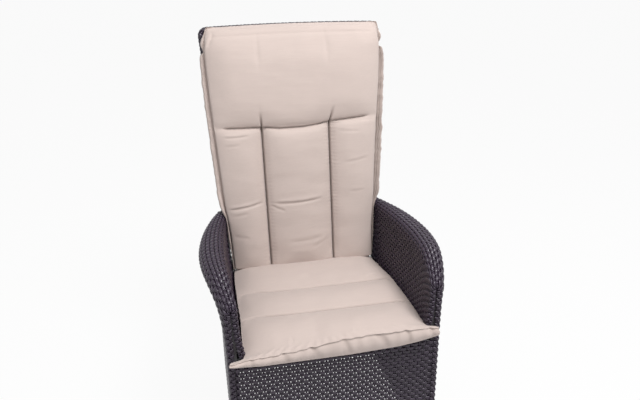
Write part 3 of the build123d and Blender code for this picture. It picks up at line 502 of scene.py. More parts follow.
def back_face_guide(z, inset, up=60, across=25):
    """Grid of the back's front or rear face, its top corners rounded."""
    rows = []
    top = BACK_TOP - inset
    radius = BACK_CORNER - inset
    for j in range(up + 1):
        v = BACK_FOOT + (top - BACK_FOOT) * j / up
        half = back_half(v, inset)
        over = max(0.0, v - (top - radius))
        half -= radius - (max(0.0, radius**2 - over**2)) ** 0.5
        rows.append([tuple(BACK_PLANE @ Vector((half * s, v, z)))
                     for s in np.linspace(-1, 1, across)])
    return np.array(rows).transpose(1, 0, 2), BACK_HALF_FOOT + BACK_HALF_TOP, top - BACK_FOOT


def guide_object(name, grid, facing):
    """Mesh object of a guide grid with its own UV map, its faces towards a direction."""
    wide, high = grid.shape[:2]
    points = grid.reshape(-1, 3)
    faces = [(i * high + j, (i + 1) * high + j, (i + 1) * high + j + 1, i * high + j + 1)
             for i in range(wide - 1) for j in range(high - 1)]
    middle = (wide // 2) * high + high // 2
    a, b, c = points[middle], points[middle + high], points[middle + 1]
    if np.dot(np.cross(b - a, c - a), facing(a) if callable(facing) else facing) < 0:
        faces = [f[::-1] for f in faces]
    mesh = bpy.data.meshes.new(name)
    mesh.from_pydata(points.tolist(), [], faces)
    layer = mesh.uv_layers.new(name="UVMap")
    corners = np.zeros(len(mesh.loops), int)
    mesh.loops.foreach_get("vertex_index", corners)
    uv = np.stack([corners // high / (wide - 1), corners % high / (high - 1)], axis=1)
    layer.data.foreach_set("uv", uv.astype(np.float32).ravel())
    return new_object(name, mesh)


# The weave's node tree: samples of a strand at each crossing, sides of its section, the stakes'
# width and wave as shares of the strands', the dips between two bumps and the strands' straying
WEAVE_INPUTS = (
    ("Guide", "Geometry"), ("Rows", "Int"), ("Stakes", "Int"), ("Length", "Float"),
    ("Height", "Float"), ("Strand Width", "Float"), ("Strand Thickness", "Float"),
    ("Wave Height", "Float"), ("Lift", "Float"), ("Unevenness", "Float"), ("Seed", "Int"),
    ("Material", "Material"),
)
ROW_SAMPLES, STAKE_SAMPLES = 3, 2
ROW_SIDES, STAKE_SIDES = 6, 4
STAKE_WIDTH_SHARE, STAKE_WAVE_SHARE = 0.5, -0.35
DIP_POWER, DIP_DEPTH = 2.4, 2.3
STRAY_SCALE = 31.0
MAP_EDGE = 0.001


def strand_set(tree, given, rows):
    """The horizontal strands, or with rows false the upright stakes, laid flat."""
    here = lambda name: Value(tree, given.node.outputs[name])
    count, crossings = (here("Rows"), here("Stakes")) if rows else (here("Stakes"), here("Rows"))
    run, spread = (here("Length"), here("Height")) if rows else (here("Height"), here("Length"))
    pitch, cross_pitch = spread / count, run / crossings

    def laid(along, across, up=0.0):
        order = {"X": along, "Y": across, "Z": up} if rows else {"X": across, "Y": along, "Z": up}
        return add_node(tree, "ShaderNodeCombineXYZ", {}, order)[0]

    starts = add_node(tree, "GeometryNodeMeshLine", {"mode": "OFFSET"}, {
        "Count": count, "Start Location": laid(0.0, pitch * 0.5), "Offset": laid(0.0, pitch)})
    line = add_node(tree, "GeometryNodeCurvePrimitiveLine", {}, {
        "Start": (0.0, 0.0, 0.0), "End": laid(run, 0.0)})
    samples = crossings * (ROW_SAMPLES if rows else STAKE_SAMPLES) + 1
    line = add_node(tree, "GeometryNodeResampleCurve", {"mode": "COUNT"}, {
        "Curve": line["Curve"], "Count": samples})
    strands = add_node(tree, "GeometryNodeInstanceOnPoints", {}, {
        "Points": starts["Mesh"], "Instance": line["Curve"]})
    strands = add_node(tree, "GeometryNodeRealizeInstances", {}, {
        "Geometry": strands["Instances"]})["Geometry"]
    where = add_node(tree, "ShaderNodeSeparateXYZ", {}, {
        0: add_node(tree, "GeometryNodeInputPosition")["Position"]})
    along, across = (where["X"], where["Y"]) if rows else (where["Y"], where["X"])
    number = (across / pitch).maths("FLOOR")
    swing = ((along / cross_pitch - 0.5 + number) * pi).maths("COSINE")
    swing = 1.0 - ((1.0 - swing) * 0.5) ** DIP_POWER * DIP_DEPTH
    wave = here("Wave Height") * (1.0 if rows else STAKE_WAVE_SHARE)
    chance = add_node(tree, "FunctionNodeRandomValue", {"data_type": "FLOAT"}, {
        "Min": -1.0, "Max": 1.0, "ID": number, "Seed": here("Seed")})[1]
    drift = add_node(tree, "ShaderNodeTexNoise", {}, {
        "Vector": add_node(tree, "GeometryNodeInputPosition")["Position"],
        "Scale": STRAY_SCALE})["Fac"]
    shift = here("Unevenness") * (chance * 0.5 + (drift - 0.5) * 2.0)
    strands = add_node(tree, "GeometryNodeSetPosition", {}, {
        "Geometry": strands, "Offset": laid(0.0, shift, swing * wave)})["Geometry"]
    strands = add_node(tree, "GeometryNodeStoreNamedAttribute",
                       {"data_type": "FLOAT", "domain": "POINT"}, {
                           "Geometry": strands, "Name": "shade", "Value": chance * 0.5 + 0.5})
    strands = add_node(tree, "GeometryNodeSetCurveNormal", {"mode": "Z_UP"}, {
        "Curve": strands["Geometry"]})
    ring = add_node(tree, "GeometryNodeCurvePrimitiveCircle", {"mode": "RADIUS"}, {
        "Resolution": ROW_SIDES if rows else STAKE_SIDES, "Radius": 0.5})["Curve"]
    size = add_node(tree, "ShaderNodeCombineXYZ", {}, {
        "X": here("Strand Width") * (1.0 if rows else STAKE_WIDTH_SHARE),
        "Y": here("Strand Thickness"), "Z": 1.0})[0]
    profile = add_node(tree, "GeometryNodeTransform", {}, {"Geometry": ring, "Scale": size})
    return add_node(tree, "GeometryNodeCurveToMesh", {}, {
        "Curve": strands["Curve"], "Profile Curve": profile["Geometry"],
        "Fill Caps": True})["Mesh"]


def weave_tree():
    """Node tree that weaves strands over stakes on a guide surface."""
    tree = bpy.data.node_groups.new("woven panel", "GeometryNodeTree")
    for name, kind in WEAVE_INPUTS:
        tree.interface.new_socket(name=name, in_out="INPUT", socket_type="NodeSocket" + kind)
    tree.interface.new_socket(name="Weave", in_out="OUTPUT", socket_type="NodeSocketGeometry")
    given = add_node(tree, "NodeGroupInput")
    flat = add_node(tree, "GeometryNodeJoinGeometry")
    for rows in (True, False):
        tree.links.new(strand_set(tree, given, rows).socket, flat.node.inputs[0])
    place = add_node(tree, "GeometryNodeInputPosition")["Position"]
    where = add_node(tree, "ShaderNodeSeparateXYZ", {}, {0: place})
    share = add_node(tree, "ShaderNodeCombineXYZ", {}, {
        axis: (where[axis] / given[reach]).maths("MAXIMUM", MAP_EDGE).maths("MINIMUM", 1 - MAP_EDGE)
        for axis, reach in (("X", "Length"), ("Y", "Height"))})[0]
    own_map = add_node(tree, "GeometryNodeInputNamedAttribute", {"data_type": "FLOAT_VECTOR"}, {
        "Name": "UVMap"})[0]
    found = []
    for source in ("GeometryNodeInputPosition", "GeometryNodeInputNormal"):
        found.append(add_node(tree, "GeometryNodeSampleUVSurface", {"data_type": "FLOAT_VECTOR"}, {
            0: given["Guide"], 1: add_node(tree, source)[0], 2: own_map, 3: share})[0])
    lifted = add_node(tree, "ShaderNodeVectorMath", {"operation": "SCALE"}, {
        0: found[1], 3: where["Z"] + given["Lift"]})[0]
    mapped = add_node(tree, "ShaderNodeVectorMath", {"operation": "ADD"}, {
        0: found[0], 1: lifted})[0]
    woven = add_node(tree, "GeometryNodeSetPosition", {}, {
        "Geometry": flat["Geometry"], "Position": mapped})["Geometry"]
    woven = add_node(tree, "GeometryNodeSetShadeSmooth", {}, {0: woven})[0]
    woven = add_node(tree, "GeometryNodeRealizeInstances", {}, {"Geometry": woven})["Geometry"]
    woven = add_node(tree, "GeometryNodeSetMaterial", {}, {
        "Geometry": woven, "Material": given["Material"]})["Geometry"]
    out = add_node(tree, "NodeGroupOutput")
    tree.links.new(woven.socket, out.node.inputs[0])
    return tree


def strand():
    """The strand's material."""
    colour = tuple(bpy.context.scene.armchair_weave.strand_colour)
    return made_once(bpy.data.materials, "woven strand", lambda: strand_material(colour))


def cover():
    """The cushion cover's material."""
    colour = tuple(bpy.context.scene.armchair_cushions.cover_colour)
    return made_once(bpy.data.materials, "cushion cover", lambda: cover_material(colour))


def plain_copy(host, name):
    """The host's evaluated result as a plain mesh object, in place of the host."""
    graph = bpy.context.evaluated_depsgraph_get()
    mesh = bpy.data.meshes.new_from_object(host.evaluated_get(graph))
    source = host.data
    bpy.data.objects.remove(host)
    bpy.data.meshes.remove(source)
    mesh.name = name
    return new_object(name, mesh)


# How far the weave's middle lies off its guide surface
ARM_LIFT, DECK_LIFT, BACK_LIFT, FRONT_LIFT = -0.0018, -0.0022, -0.0016, -0.0026


def weave_piece(name, guide, facing, body, replaced=(), seed=1, lift=ARM_LIFT, width_share=1.0):
    """A woven panel on a guide surface, riding on a body and standing for CAD nodes."""
    sizes = bpy.context.scene.armchair_weave
    grid, length, height = guide
    host = guide_object(name + " guide", grid, facing)
    modifier = host.modifiers.new("weave", "NODES")
    modifier.node_group = made_once(bpy.data.node_groups, "woven panel", weave_tree)
    values = {
        "Rows": max(2, round(height / sizes.row_pitch)),
        "Stakes": max(2, round(length / sizes.stake_pitch)),
        "Length": length,
        "Height": height,
        "Strand Width": sizes.strand_width * width_share,
        "Strand Thickness": sizes.strand_thickness,
        "Wave Height": sizes.wave_height,
        "Unevenness": sizes.unevenness,
        "Lift": lift,
        "Seed": seed,
        "Material": strand(),
    }
    for item in modifier.node_group.interface.items_tree:
        if item.name in values:
            modifier[item.identifier] = values[item.name]
    piece = plain_copy(host, name)
    if replaced:
        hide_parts(*replaced)
    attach(piece, body)
    return piece


# The arms' sides, steps up their outer guide, the front apron's wider strands, and how far the
# back's rear and front faces are drawn in from its outline
SIDES = (("right", 1), ("left", -1))
OUTER_UP = 40
APRON_WIDTH_SHARE = 1.03
REAR_INSET, FRONT_INSET = 0.0125, 0.0085


class ARMCHAIR_OT_weave_arms(bpy.types.Operator):
    """Weave the two arms: outer side, top and inner side"""

    bl_idname = "armchair.weave_arms"
    bl_label = "Weave the arms"

    def execute(self, context):
        for side, sign in SIDES:
            outer = side_guide(outer_section, sign, up=OUTER_UP)
            weave_piece(f"outer_weave_{side}", outer, (sign, 0, 0), "root",
                        (f"outer_panel_{side}", f"front_cover_{side}", f"rear_cover_{side}"), 3)
            top = side_guide(top_section, sign)
            weave_piece(f"arm_top_weave_{side}", top, (0, 0, 1), "root", (f"arm_top_{side}",), 5)
            inner = side_guide(inner_section, sign)
            weave_piece(f"inner_weave_{side}", inner, (-sign, 0, 0), "root",
                        (f"inner_panel_{side}",), 7)
        return {"FINISHED"}


class ARMCHAIR_OT_weave_aprons(bpy.types.Operator):
    """Weave the front and the rear apron and the seat deck"""

    bl_idname = "armchair.weave_aprons"
    bl_label = "Weave the aprons and the deck"

    def execute(self, context):
        low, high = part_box("front_apron")
        front = flat_guide((low.x, low.y, low.z), (high.x - low.x, 0, 0), (0, 0, high.z - low.z))
        weave_piece("front_apron_weave", front, (0, -1, 0), "root", ("front_apron",), 11,
                    width_share=APRON_WIDTH_SHARE)
        low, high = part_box("rear_apron")
        reach = HALF_BASE - WRAP_REACH
        rear = flat_guide((-reach, high.y, low.z), (2 * reach, 0, 0), (0, 0, high.z - low.z))
        weave_piece("rear_apron_weave", rear, (0, 1, 0), "root", ("rear_apron",), 13)
        low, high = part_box("seat_deck")
        drop = -(SEAT_THICK + CUSHION_GAP)
        run = (high.y - low.y) / cos(SEAT_TILT)
        corner = SEAT_PLANE @ Vector((low.x, (low.y - CREASE.y) / cos(SEAT_TILT), drop))
        deck = flat_guide(corner, (high.x - low.x, 0, 0),
                          SEAT_PLANE.to_3x3() @ Vector((0, run, 0)))
        weave_piece("seat_deck_weave", deck, (0, 0, 1), "root", ("seat_deck",), 17, lift=DECK_LIFT)
        return {"FINISHED"}


class ARMCHAIR_OT_weave_back(bpy.types.Operator):
    """Weave the back: rim, rear face and front face"""

    bl_idname = "armchair.weave_back"
    bl_label = "Weave the back"

    def execute(self, context):
        rear = Vector((0, cos(BACK_LEAN), -sin(BACK_LEAN)))
        middle = BACK_PLANE @ Vector((0, BACK_LENGTH / 2, BACK_FACE))
        weave_piece("back_rim_weave", back_rim_guide(), lambda p: Vector(p) - middle, "backrest",
                    ("back_shell",), 19, lift=BACK_LIFT)
        face = back_face_guide(BACK_FACE - BACK_DEPTH, REAR_INSET)
        weave_piece("back_rear_weave", face, rear, "backrest", (), 23, lift=BACK_LIFT)
        face = back_face_guide(BACK_FACE, FRONT_INSET)
        weave_piece("back_front_weave", face, -rear, "backrest", ("back_front",), 29,
                    lift=FRONT_LIFT)
        return {"FINISHED"}


# Cushions: what every vertex of a pad keeps, a fine scale to space grids by, what counts as an
# edge of u or v, the filling, how it is calmed, and the shape of a fold
PAD_MARKS = ("pad_u", "pad_v", "pad_side")
FINE_STEPS = 4001
EDGE = 0.0001
PER_METRE = 1000
FILL_FRAMES, FILL_SLACK = 20, 0.015
CLOTH = {
    "quality": 5,
    "mass": 0.25,
    "tension_stiffness": 14,
    "compression_stiffness": 14,
    "shear_stiffness": 7,
    "bending_stiffness": 0.5,
    "use_pressure": True,
    "vertex_group_mass": "held",
    "pin_stiffness": 1.0,
    "shrink_min": -FILL_SLACK,
}
SINK, CALM_SHARE = -0.001, 0.7
FOLD_BOW, FOLD_FADE = 0.10, 0.25


def spaced(count, places, reach, gain):
    """Grid shares from 0 to 1 that stand closer together near some places."""
    fine = np.linspace(0, 1, FINE_STEPS)
    weight = 1 + sum(gain * np.exp(-((fine - place) / reach) ** 2) for place in places)
    sums = np.cumsum(weight) - weight[0]
    return np.interp(np.linspace(0, 1, count + 1), sums / sums[-1], fine)


class Pad:
    """A closed pad: a face grid, an under grid and a border of rings between them."""

    def __init__(self, us, vs):
        self.us, self.vs = us, vs

    def mesh(self, name, face, outer, under, rings, border):
        """Mesh of the pad; face, outer and under take u from -1 to 1 and v from 0 to 1.

        border(u, v, ring) gives how far a ring stands out towards outer, how far it has gone
        towards under, and its height.
        """
        nu, nv = len(self.us) - 1, len(self.vs) - 1
        points, marks = [], []
        for side, place in ((1.0, face), (-1.0, under)):
            for v in self.vs:
                for u in self.us:
                    points.append(place(u, v))
                    marks.append((u, v, side))
        index = lambda i, j: j * (nu + 1) + i
        layer = (nu + 1) * (nv + 1)
        faces = []
        for j in range(nv):
            for i in range(nu):
                quad = (index(i, j), index(i + 1, j), index(i + 1, j + 1), index(i, j + 1))
                faces.append(quad)
                faces.append(tuple(layer + k for k in quad[::-1]))
        loop = [index(i, 0) for i in range(nu)] + [index(nu, j) for j in range(nv)]
        loop += [index(i, nv) for i in range(nu, 0, -1)] + [index(0, j) for j in range(nv, 0, -1)]
        previous = loop
        for ring in range(1, rings + 1):
            current = [layer + k for k in loop]
            if ring < rings:
                first = len(points)
                for n in loop:
                    u, v, _ = marks[n]
                    out, down, height = border(u, v, ring)
                    start, wide, low = points[n], outer(u, v), points[layer + n]
                    x, y = (start[k] + out * (wide[k] - start[k]) + down * (low[k] - start[k])
                            for k in (0, 1))
                    points.append((x, y, height))
                    marks.append((u, v, 1.0 - 2.0 * ring / rings))
                current = list(range(first, first + len(loop)))
            for k in range(len(loop)):
                m = (k + 1) % len(loop)
                faces.append((previous[m], previous[k], current[k], current[m]))
            previous = current
        mesh = bpy.data.meshes.new(name)
        mesh.from_pydata([tuple(p) for p in points], [], faces)
        marks = np.array(marks, np.float32)
        for label, values in zip(PAD_MARKS, marks.T):
            write_mark(mesh, label, values)
        return mesh


def write_mark(mesh, label, values):
    """Keeps a value for every vertex of a mesh."""
    attribute = mesh.attributes.new(label, "FLOAT", "POINT")
    attribute.data.foreach_set("value", np.ascontiguousarray(values, np.float32))


def read_marks(mesh):
    """The u, v and side of every vertex of a pad."""
    found = []
    for label in PAD_MARKS:
        values = np.zeros(len(mesh.vertices), np.float32)
        mesh.attributes[label].data.foreach_get("value", values)
        found.append(values.astype(float))
    return found


def read_points(mesh):
    """The vertices of a mesh as an array."""
    points = np.zeros(len(mesh.vertices) * 3)
    mesh.vertices.foreach_get("co", points)
    return points.reshape(-1, 3)


def write_points(mesh, points):
    """Moves a mesh's vertices."""
    mesh.vertices.foreach_set("co", np.asarray(points, float).ravel())
    mesh.update()


def paint_crease_shade(mesh, depth):
    """Keeps how much painted shade every vertex gets in the seams, creases and grooves, from 0 to 1,
    for the cover's colour.
    """
    write_mark(mesh, "painted_crease_shade", np.clip(depth, 0, 1))


def bell(x, width):
    """1 at zero, falling smoothly to 0 past a few widths."""
    return np.exp(-((x / width) ** 2))


def ramp(x):
    """Rises smoothly from 0 to 1 while each x does."""
    x = np.clip(x, 0, 1)
    return x * x * (3 - 2 * x)


def rough(points, scale, seed, stretch=(1, 1, 1)):
    """Smooth noise from -1 to 1 at each point."""
    turned = np.asarray(points) * np.array(stretch) * scale + seed * 17.31
    return np.array([noise.noise(Vector(p)) for p in turned])


def unevenness(points, rows):
    """Smooth noise added up from rows of a size, a scale, a seed and a stretch."""
    return sum(size * rough(points, scale, seed, stretch) for size, scale, seed, stretch in rows)


def waver(place, rows):
    """Smooth noise along a line, added up from rows of a size, a pace and a seed."""
    return sum(size * noise.noise(Vector((place * pace, seed * 7.7, seed * 3.1)))
               for size, pace, seed in rows)


def on_rim(u, v):
    """Whether a point of a pad's grid lies on its rim."""
    return (np.abs(u) > 1 - EDGE) | (v > 1 - EDGE) | (v < EDGE)


def folds(x, y, lines):
    """Height of creased folds; each line has its two ends, depth and width in millimetres."""
    height = np.zeros(len(x))
    for x0, y0, x1, y1, depth, width in np.array(lines) / PER_METRE:
        course = np.array([x1 - x0, y1 - y0])
        length = np.linalg.norm(course)
        course /= length
        share = ((x - x0) * course[0] + (y - y0) * course[1]) / length
        off = (y - y0) * course[0] - (x - x0) * course[1]
        off = off + FOLD_BOW * length * np.clip(share * (1 - share), -0.5, 0.25)
        ends = ramp(share / FOLD_FADE) * ramp((1 - share) / FOLD_FADE)
        height += depth * ends * (0.5 * bell(off - 2.0 * width, 1.5 * width) - bell(off, width))
    return height


def inflate(piece, held, pressure):
    """Fills a pad under cloth simulation, with some of its vertices held; gives both states."""
    scene = bpy.context.scene
    group = piece.vertex_groups.new(name=CLOTH["vertex_group_mass"])
    steps = np.round(held, 2)
    for weight in sorted(set(steps)):
        if weight > 0:
            group.add(np.nonzero(steps == weight)[0].tolist(), float(weight), "REPLACE")
    cloth = piece.modifiers.new("filling", "CLOTH")
    for name, value in CLOTH.items():
        setattr(cloth.settings, name, value)
    cloth.settings.uniform_pressure_force = pressure
    cloth.settings.effector_weights.gravity = 0.0
    cloth.collision_settings.use_collision = False
    cloth.point_cache.frame_start = 1
    cloth.point_cache.frame_end = FILL_FRAMES
    for number in range(1, FILL_FRAMES + 1):
        scene.frame_set(number)
    graph = bpy.context.evaluated_depsgraph_get()
    filled = read_points(piece.evaluated_get(graph).to_mesh())
    start = read_points(piece.data)
    piece.modifiers.remove(cloth)
    scene.frame_set(1)
    return start, filled


def calmed(rise, held, shape, rounds):
    """Smooths the filling's rise over a face's grid, except where the face is held."""
    grid, free = rise.reshape(shape), 1 - held.reshape(shape)
    for _ in range(rounds):
        near = np.pad(grid, 1, mode="edge")
        mean = (near[:-2, 1:-1] + near[2:, 1:-1] + near[1:-1, :-2] + near[1:-1, 2:]) / 4
        grid = grid + (mean - grid) * CALM_SHARE * free
    return grid.ravel()


def subdivided(piece):
    """A piece with its mesh subdivided once, for good."""
    modifier = piece.modifiers.new("smooth", "SUBSURF")
    modifier.levels = modifier.render_levels = 1
    return plain_copy(piece, piece.name)


def filled_pad(name, mesh, held, shape, most, rounds):
    """A pad object whose face is filled under simulation, calmed and then subdivided.

    The face has shape[0] rows of shape[1] points, and it rises by most at the most.
    """
    piece = new_object(name, mesh)
    piece.data.materials.append(cover())
    pressure = bpy.context.scene.armchair_cushions.pressure
    points, filled = inflate(piece, held, pressure)
    face = slice(0, shape[0] * shape[1])
    rise = np.clip(filled[face, 2] - points[face, 2], SINK, most)
    points[face, 2] += calmed(rise, held[face], shape, rounds)
    write_points(piece.data, points)
    return subdivided(piece)


def laid_cushion(piece, plane, node, body):
    """Puts a finished cushion in place of its CAD solid, on a body."""
    piece.data.transform(plane)
    piece.data.shade_smooth()
    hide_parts(node)
    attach(piece, body)


# Back cushion: half widths of its face and of the border's outer edge at heights up the back,
# places of the channels' seams, the header's seam across, and the border's rings, each with how
# far it stands out towards the outer edge and its height over the cushion's face in millimetres
FACE_TOP, BORDER_TOP, TOP_ARCH = 0.702, 0.712, 0.005
CHANNEL = 0.430
FACE_HALF = ((0.0, 0.2150), (0.1, 0.2185), (0.2, 0.228), (0.3, 0.234), (0.4, 0.240), (0.5, 0.247),
             (0.6, 0.2515), (0.65, 0.2525), (0.682, 0.248), (0.702, 0.237))
RIGHT_TUCK = ((0.0, 0.003), (0.1, 0.005), (0.3, 0.007), (0.45, 0.005), (0.55, 0.0015), (0.65, 0.0))
CHANNEL_LEFT = ((0.0, -0.1045), (0.43, -0.1080))
CHANNEL_RIGHT = ((0.0, 0.0905), (0.43, 0.0935))
BORDER_HALF = ((0.0, 0.2208), (0.05, 0.2238), (0.09, 0.2282), (0.155, 0.231), (0.195, 0.246),
               (0.24, 0.251), (0.3, 0.255), (0.4, 0.2605), (0.5, 0.2655), (0.6, 0.2685),
               (0.664, 0.2685), (0.712, 0.243))
RIGHT_FLANGE = ((0.15, 0.0), (0.2, 0.002), (0.4, 0.003), (0.6, 0.005))
HEADER_SEAM = ((-1.0, 0.429), (-0.7, 0.426), (-0.43, 0.4255), (-0.2, 0.4195), (0.1, 0.4200),
               (0.28, 0.4245), (0.43, 0.431), (0.7, 0.436), (1.0, 0.442))
HEADER = 0.426
LEFT_RINGS = ((0.0, -7), (0.10, -10), (0.12, -15), (0.04, -20), (0.0, -24), (0.15, -25),
              (0.40, -23), (0.66, -22), (0.86, -23), (0.99, -27), (1.02, -34), (0.97, -41),
              (0.78, -46.5), (0.42, -49.5), (0.0, -50))
RIGHT_RINGS = ((0.0, -7), (0.10, -11), (0.08, -18), (0.0, -25), (-0.05, -31), (0.15, -34),
               (0.42, -34), (0.62, -31), (0.80, -28), (0.97, -28), (1.02, -34), (0.97, -41),
               (0.78, -46.5), (0.42, -49.5), (0.0, -50))
# Painted shade that each ring of the border's groove gets, at the left and at the right
LEFT_GROOVE_SHADE = {3: 0.15, 4: 0.55, 5: 0.15}
RIGHT_GROOVE_SHADE = {2: 0.4, 3: 0.8, 4: 0.9, 5: 0.9, 6: 0.9, 7: 0.85, 8: 0.7, 9: 0.45}

# Its crown before it is filled: height, the valleys along the channels, the rim and the top
BACK_CROWN, CROWN_POWER = 0.007, 0.6
HEADER_SPAN_SHARE, HEADER_START_SHARE = 0.94, 0.03
CROWN_END_SHARE, FOOT_RISE_SHARE, HEAD_FALL_SHARE = 0.02, 0.12, 0.10
VALLEY_DIP, VALLEY_REACH = 0.011, 0.14
BACK_RIM_DROP, TOP_DROP, TOP_DROP_SHARE = 0.007, 0.009, 0.93
BACK_FOOT_EDGE = -0.004

# Its border: the roll at the top, the flange with its ripples, the ears and the notch below them
ROLL_START, ROLL_RUN, ROLL_POWER, ROLL_TOP, ROLL_RADIUS = 0.662, 0.035, 0.8, -16, 17
FLANGE_RINGS = range(6, 13)
SIDE_PACE, TOP_PACE, TOP_PHASE, RIGHT_PHASE = 40, 16, 60, 9.0
OUT_RIPPLES = ((0.12, 1, 1), (0.08, 3, 2))
RISE_RIPPLES = ((0.0018, 1.3, 3), (0.0010, 4, 4))
EAR_REACH, EAR_RISE, EAR_OUT = 0.020, 0.012, 0.15
ARM_RISE, ARM_RISE_START, ARM_RISE_RUN = 0.009, 0.17, 0.10
NOTCH_PLACE, NOTCH_WIDTH, NOTCH_SHARE, NOTCH_DIP = 0.645, 0.011, 0.80, 0.006

# Its stitching: a narrow crease in a wide dip along each seam, the tufts that lean away from the
# seams, the gathers beside them, the seam below the top, the groove's painted shade and the soft
# unevenness
HELD_WIDTH, BACK_HELD_HALF = 0.0045, 0.235
STITCH, DIP_REACH = 0.0028, 0.012
CHANNEL_CREASE, CHANNEL_DIP = 0.010, 0.007
HEADER_CREASE, HEADER_DIP = 0.0065, 0.003
TUFT_DEPTH, TUFT_HEIGHT, TUFT_WIDTH, TUFT_SPREAD = 0.0085, 0.050, 0.0024, 0.045
TUFT_LEAN_LEFT, TUFT_LEAN_RIGHT = -0.10, 0.26
GATHER_PITCH, GATHER_HEIGHT, GATHER_OFF = 0.0105, 0.00075, 0.009
TOP_SEAM_PLACE, TOP_SEAM_WIDTH, TOP_SEAM_DEPTH = 0.684, 0.004, 0.0016
GROOVE_SHADE_REACH, GROOVE_SHADE_END, GROOVE_SHADE_FADE = 0.05, 0.650, 0.03
BACK_SOFT = ((0.0007, 11, 2, (0.6, 1.8, 1)), (0.0003, 36, 3, (0.5, 2, 1)))
BACK_FOLDS = (
    (-226, 402, -142, 405, 2.2, 2.8), (-222, 376, -170, 380, 0.9, 3.6),
    (-228, 186, -110, 205, 3.4, 3.4), (-216, 166, -160, 176, 1.2, 4.0),
    (-97, 197, 70, 204, 3.0, 3.8), (-98, 192, -50, 172, 1.8, 3.2),
    (-50, 74, 60, 84, 1.2, 6.0), (20, 52, 82, 78, 1.0, 5.0),
    (112, 404, 190, 398, 1.0, 3.6), (130, 306, 214, 318, 1.2, 4.0),
    (140, 216, 200, 218, 0.8, 4.5), (-214, 106, -160, 96, 0.8, 5.0),
    (-246, 656, -226, 700, 3.0, 3.6),
)


def along(rows, places):
    """Values read off a table of places and values."""
    return np.interp(places, *zip(*rows))


def table(rows, place):
    """One value read off such a table."""
    return float(along(rows, place))


def back_x(u, y):
    """Place across the back of a line of the face's grid."""
    half = table(FACE_HALF, y)
    places = (-half, table(CHANNEL_LEFT, y), table(CHANNEL_RIGHT, y), half - table(RIGHT_TUCK, y))
    return float(np.interp(u, (-1, -CHANNEL, CHANNEL, 1), places))


def back_crown(u, y):
    """Crown of the back cushion before it is filled."""
    rim = 1 - abs(u) ** 8
    if y >= HEADER:
        share = (y - HEADER) / (FACE_TOP - HEADER)
        span = min(1.0, share * HEADER_SPAN_SHARE + HEADER_START_SHARE)
        crown = BACK_CROWN * sin(pi * span) ** CROWN_POWER
    else:
        share = y / HEADER
        ends = min(1.0, (share + CROWN_END_SHARE) / FOOT_RISE_SHARE,
                   (1 + CROWN_END_SHARE - share) / HEAD_FALL_SHARE) ** CROWN_POWER
        valley = float(bell(abs(u) - CHANNEL, VALLEY_REACH))
        crown = ends * (BACK_CROWN - VALLEY_DIP * valley)
    top = TOP_DROP * max(0.0, (y / FACE_TOP - TOP_DROP_SHARE) / (1 - TOP_DROP_SHARE)) ** 2
    return crown * rim - BACK_RIM_DROP * abs(u) ** 10 - top


def back_rise(u, v):
    """How far the arched top lifts a point up the back."""
    return TOP_ARCH * (1 - u * u) * v**8


def back_face(u, v):
    """Point of the back cushion's face."""
    y = v * FACE_TOP
    return back_x(u, y), y + back_rise(u, v), back_crown(u, y)


def back_under(u, v):
    """Point of the back cushion's underside, on the woven back."""
    y = v * FACE_TOP
    return back_x(u, y), y + back_rise(u, v), -BACK_THICK


def back_outer(u, v):
    """Outer edge of the back cushion's border."""
    y = v * BORDER_TOP
    half = table(BORDER_HALF, y) + (table(RIGHT_FLANGE, y) if u > 0 else 0.0)
    return u * half, (y if v > 0 else BACK_FOOT_EDGE) + back_rise(u, v)


def back_border(u, v, ring):
    """The border's rings: over the edge, into the groove, out along the flange and round it."""
    rings = RIGHT_RINGS if u > 0 else LEFT_RINGS
    out, height = rings[ring]
    y = v * FACE_TOP
    on_side = abs(u) > 1 - EDGE
    corner = (FACE_TOP - y) if on_side else (1 - abs(u)) * FACE_HALF[-1][1]
    rolled = smooth_step((y - ROLL_START) / ROLL_RUN)
    turn = pi * ring / (len(rings) - 1)
    out += (sin(turn) ** ROLL_POWER - out) * rolled
    height += (ROLL_TOP - ROLL_RADIUS * (1 - cos(turn)) - height) * rolled
    height /= PER_METRE
    flange = float(ring in FLANGE_RINGS)
    place = (v * SIDE_PACE if on_side else TOP_PHASE + u * TOP_PACE) + RIGHT_PHASE * (u > 0)
    rippled = flange * (1 - 0.8 * rolled)
    out += rippled * waver(place, OUT_RIPPLES)
    height += rippled * waver(place, RISE_RIPPLES)
    if v > 0.5:
        ear = exp(-((corner / EAR_REACH) ** 2)) * flange
        height += EAR_RISE * ear
        out += EAR_OUT * ear
    if u < 0 and on_side:
        height += ARM_RISE * flange * (1 - smooth_step((y - ARM_RISE_START) / ARM_RISE_RUN))
    if on_side:
        notch = exp(-(((y - NOTCH_PLACE) / NOTCH_WIDTH) ** 2)) * flange
        out -= NOTCH_SHARE * notch * max(0.0, out)
        height -= NOTCH_DIP * notch
    return out, 0.0, height


class ARMCHAIR_OT_back_cushion(bpy.types.Operator):
    """Make the back cushion: header, three upright channels and a flanged border"""

    bl_idname = "armchair.back_cushion"
    bl_label = "Make the back cushion"

    def execute(self, context):
        places = [0.5 - CHANNEL / 2, 0.5 + CHANNEL / 2]
        us = spaced(count=86, places=places, reach=0.020, gain=2.6) * 2 - 1
        vs = spaced(count=122, places=[HEADER / FACE_TOP, 1.0], reach=0.016, gain=2.2)
        mesh = Pad(us, vs).mesh("back_cushion_cover", back_face, back_outer, back_under,
                                len(LEFT_RINGS) - 1, back_border)
        u, v, side = read_marks(mesh)
        over = v * FACE_TOP - along(HEADER_SEAM, u)
        seam = np.maximum(
            bell((np.abs(u) - CHANNEL) * BACK_HELD_HALF, HELD_WIDTH) * (over < 0.004),
            bell(over, HELD_WIDTH) * 0.92)
        held = np.where(side > 0.99, np.maximum(seam, on_rim(u, v) * 1.0), 1.0)
        piece = filled_pad("back_cushion_cover", mesh, held, (len(vs), len(us)), most=0.010,
                           rounds=10)
        back_details(piece.data)
        laid_cushion(piece, BACK_PLANE, "back_cushion", "backrest")
        return {"FINISHED"}


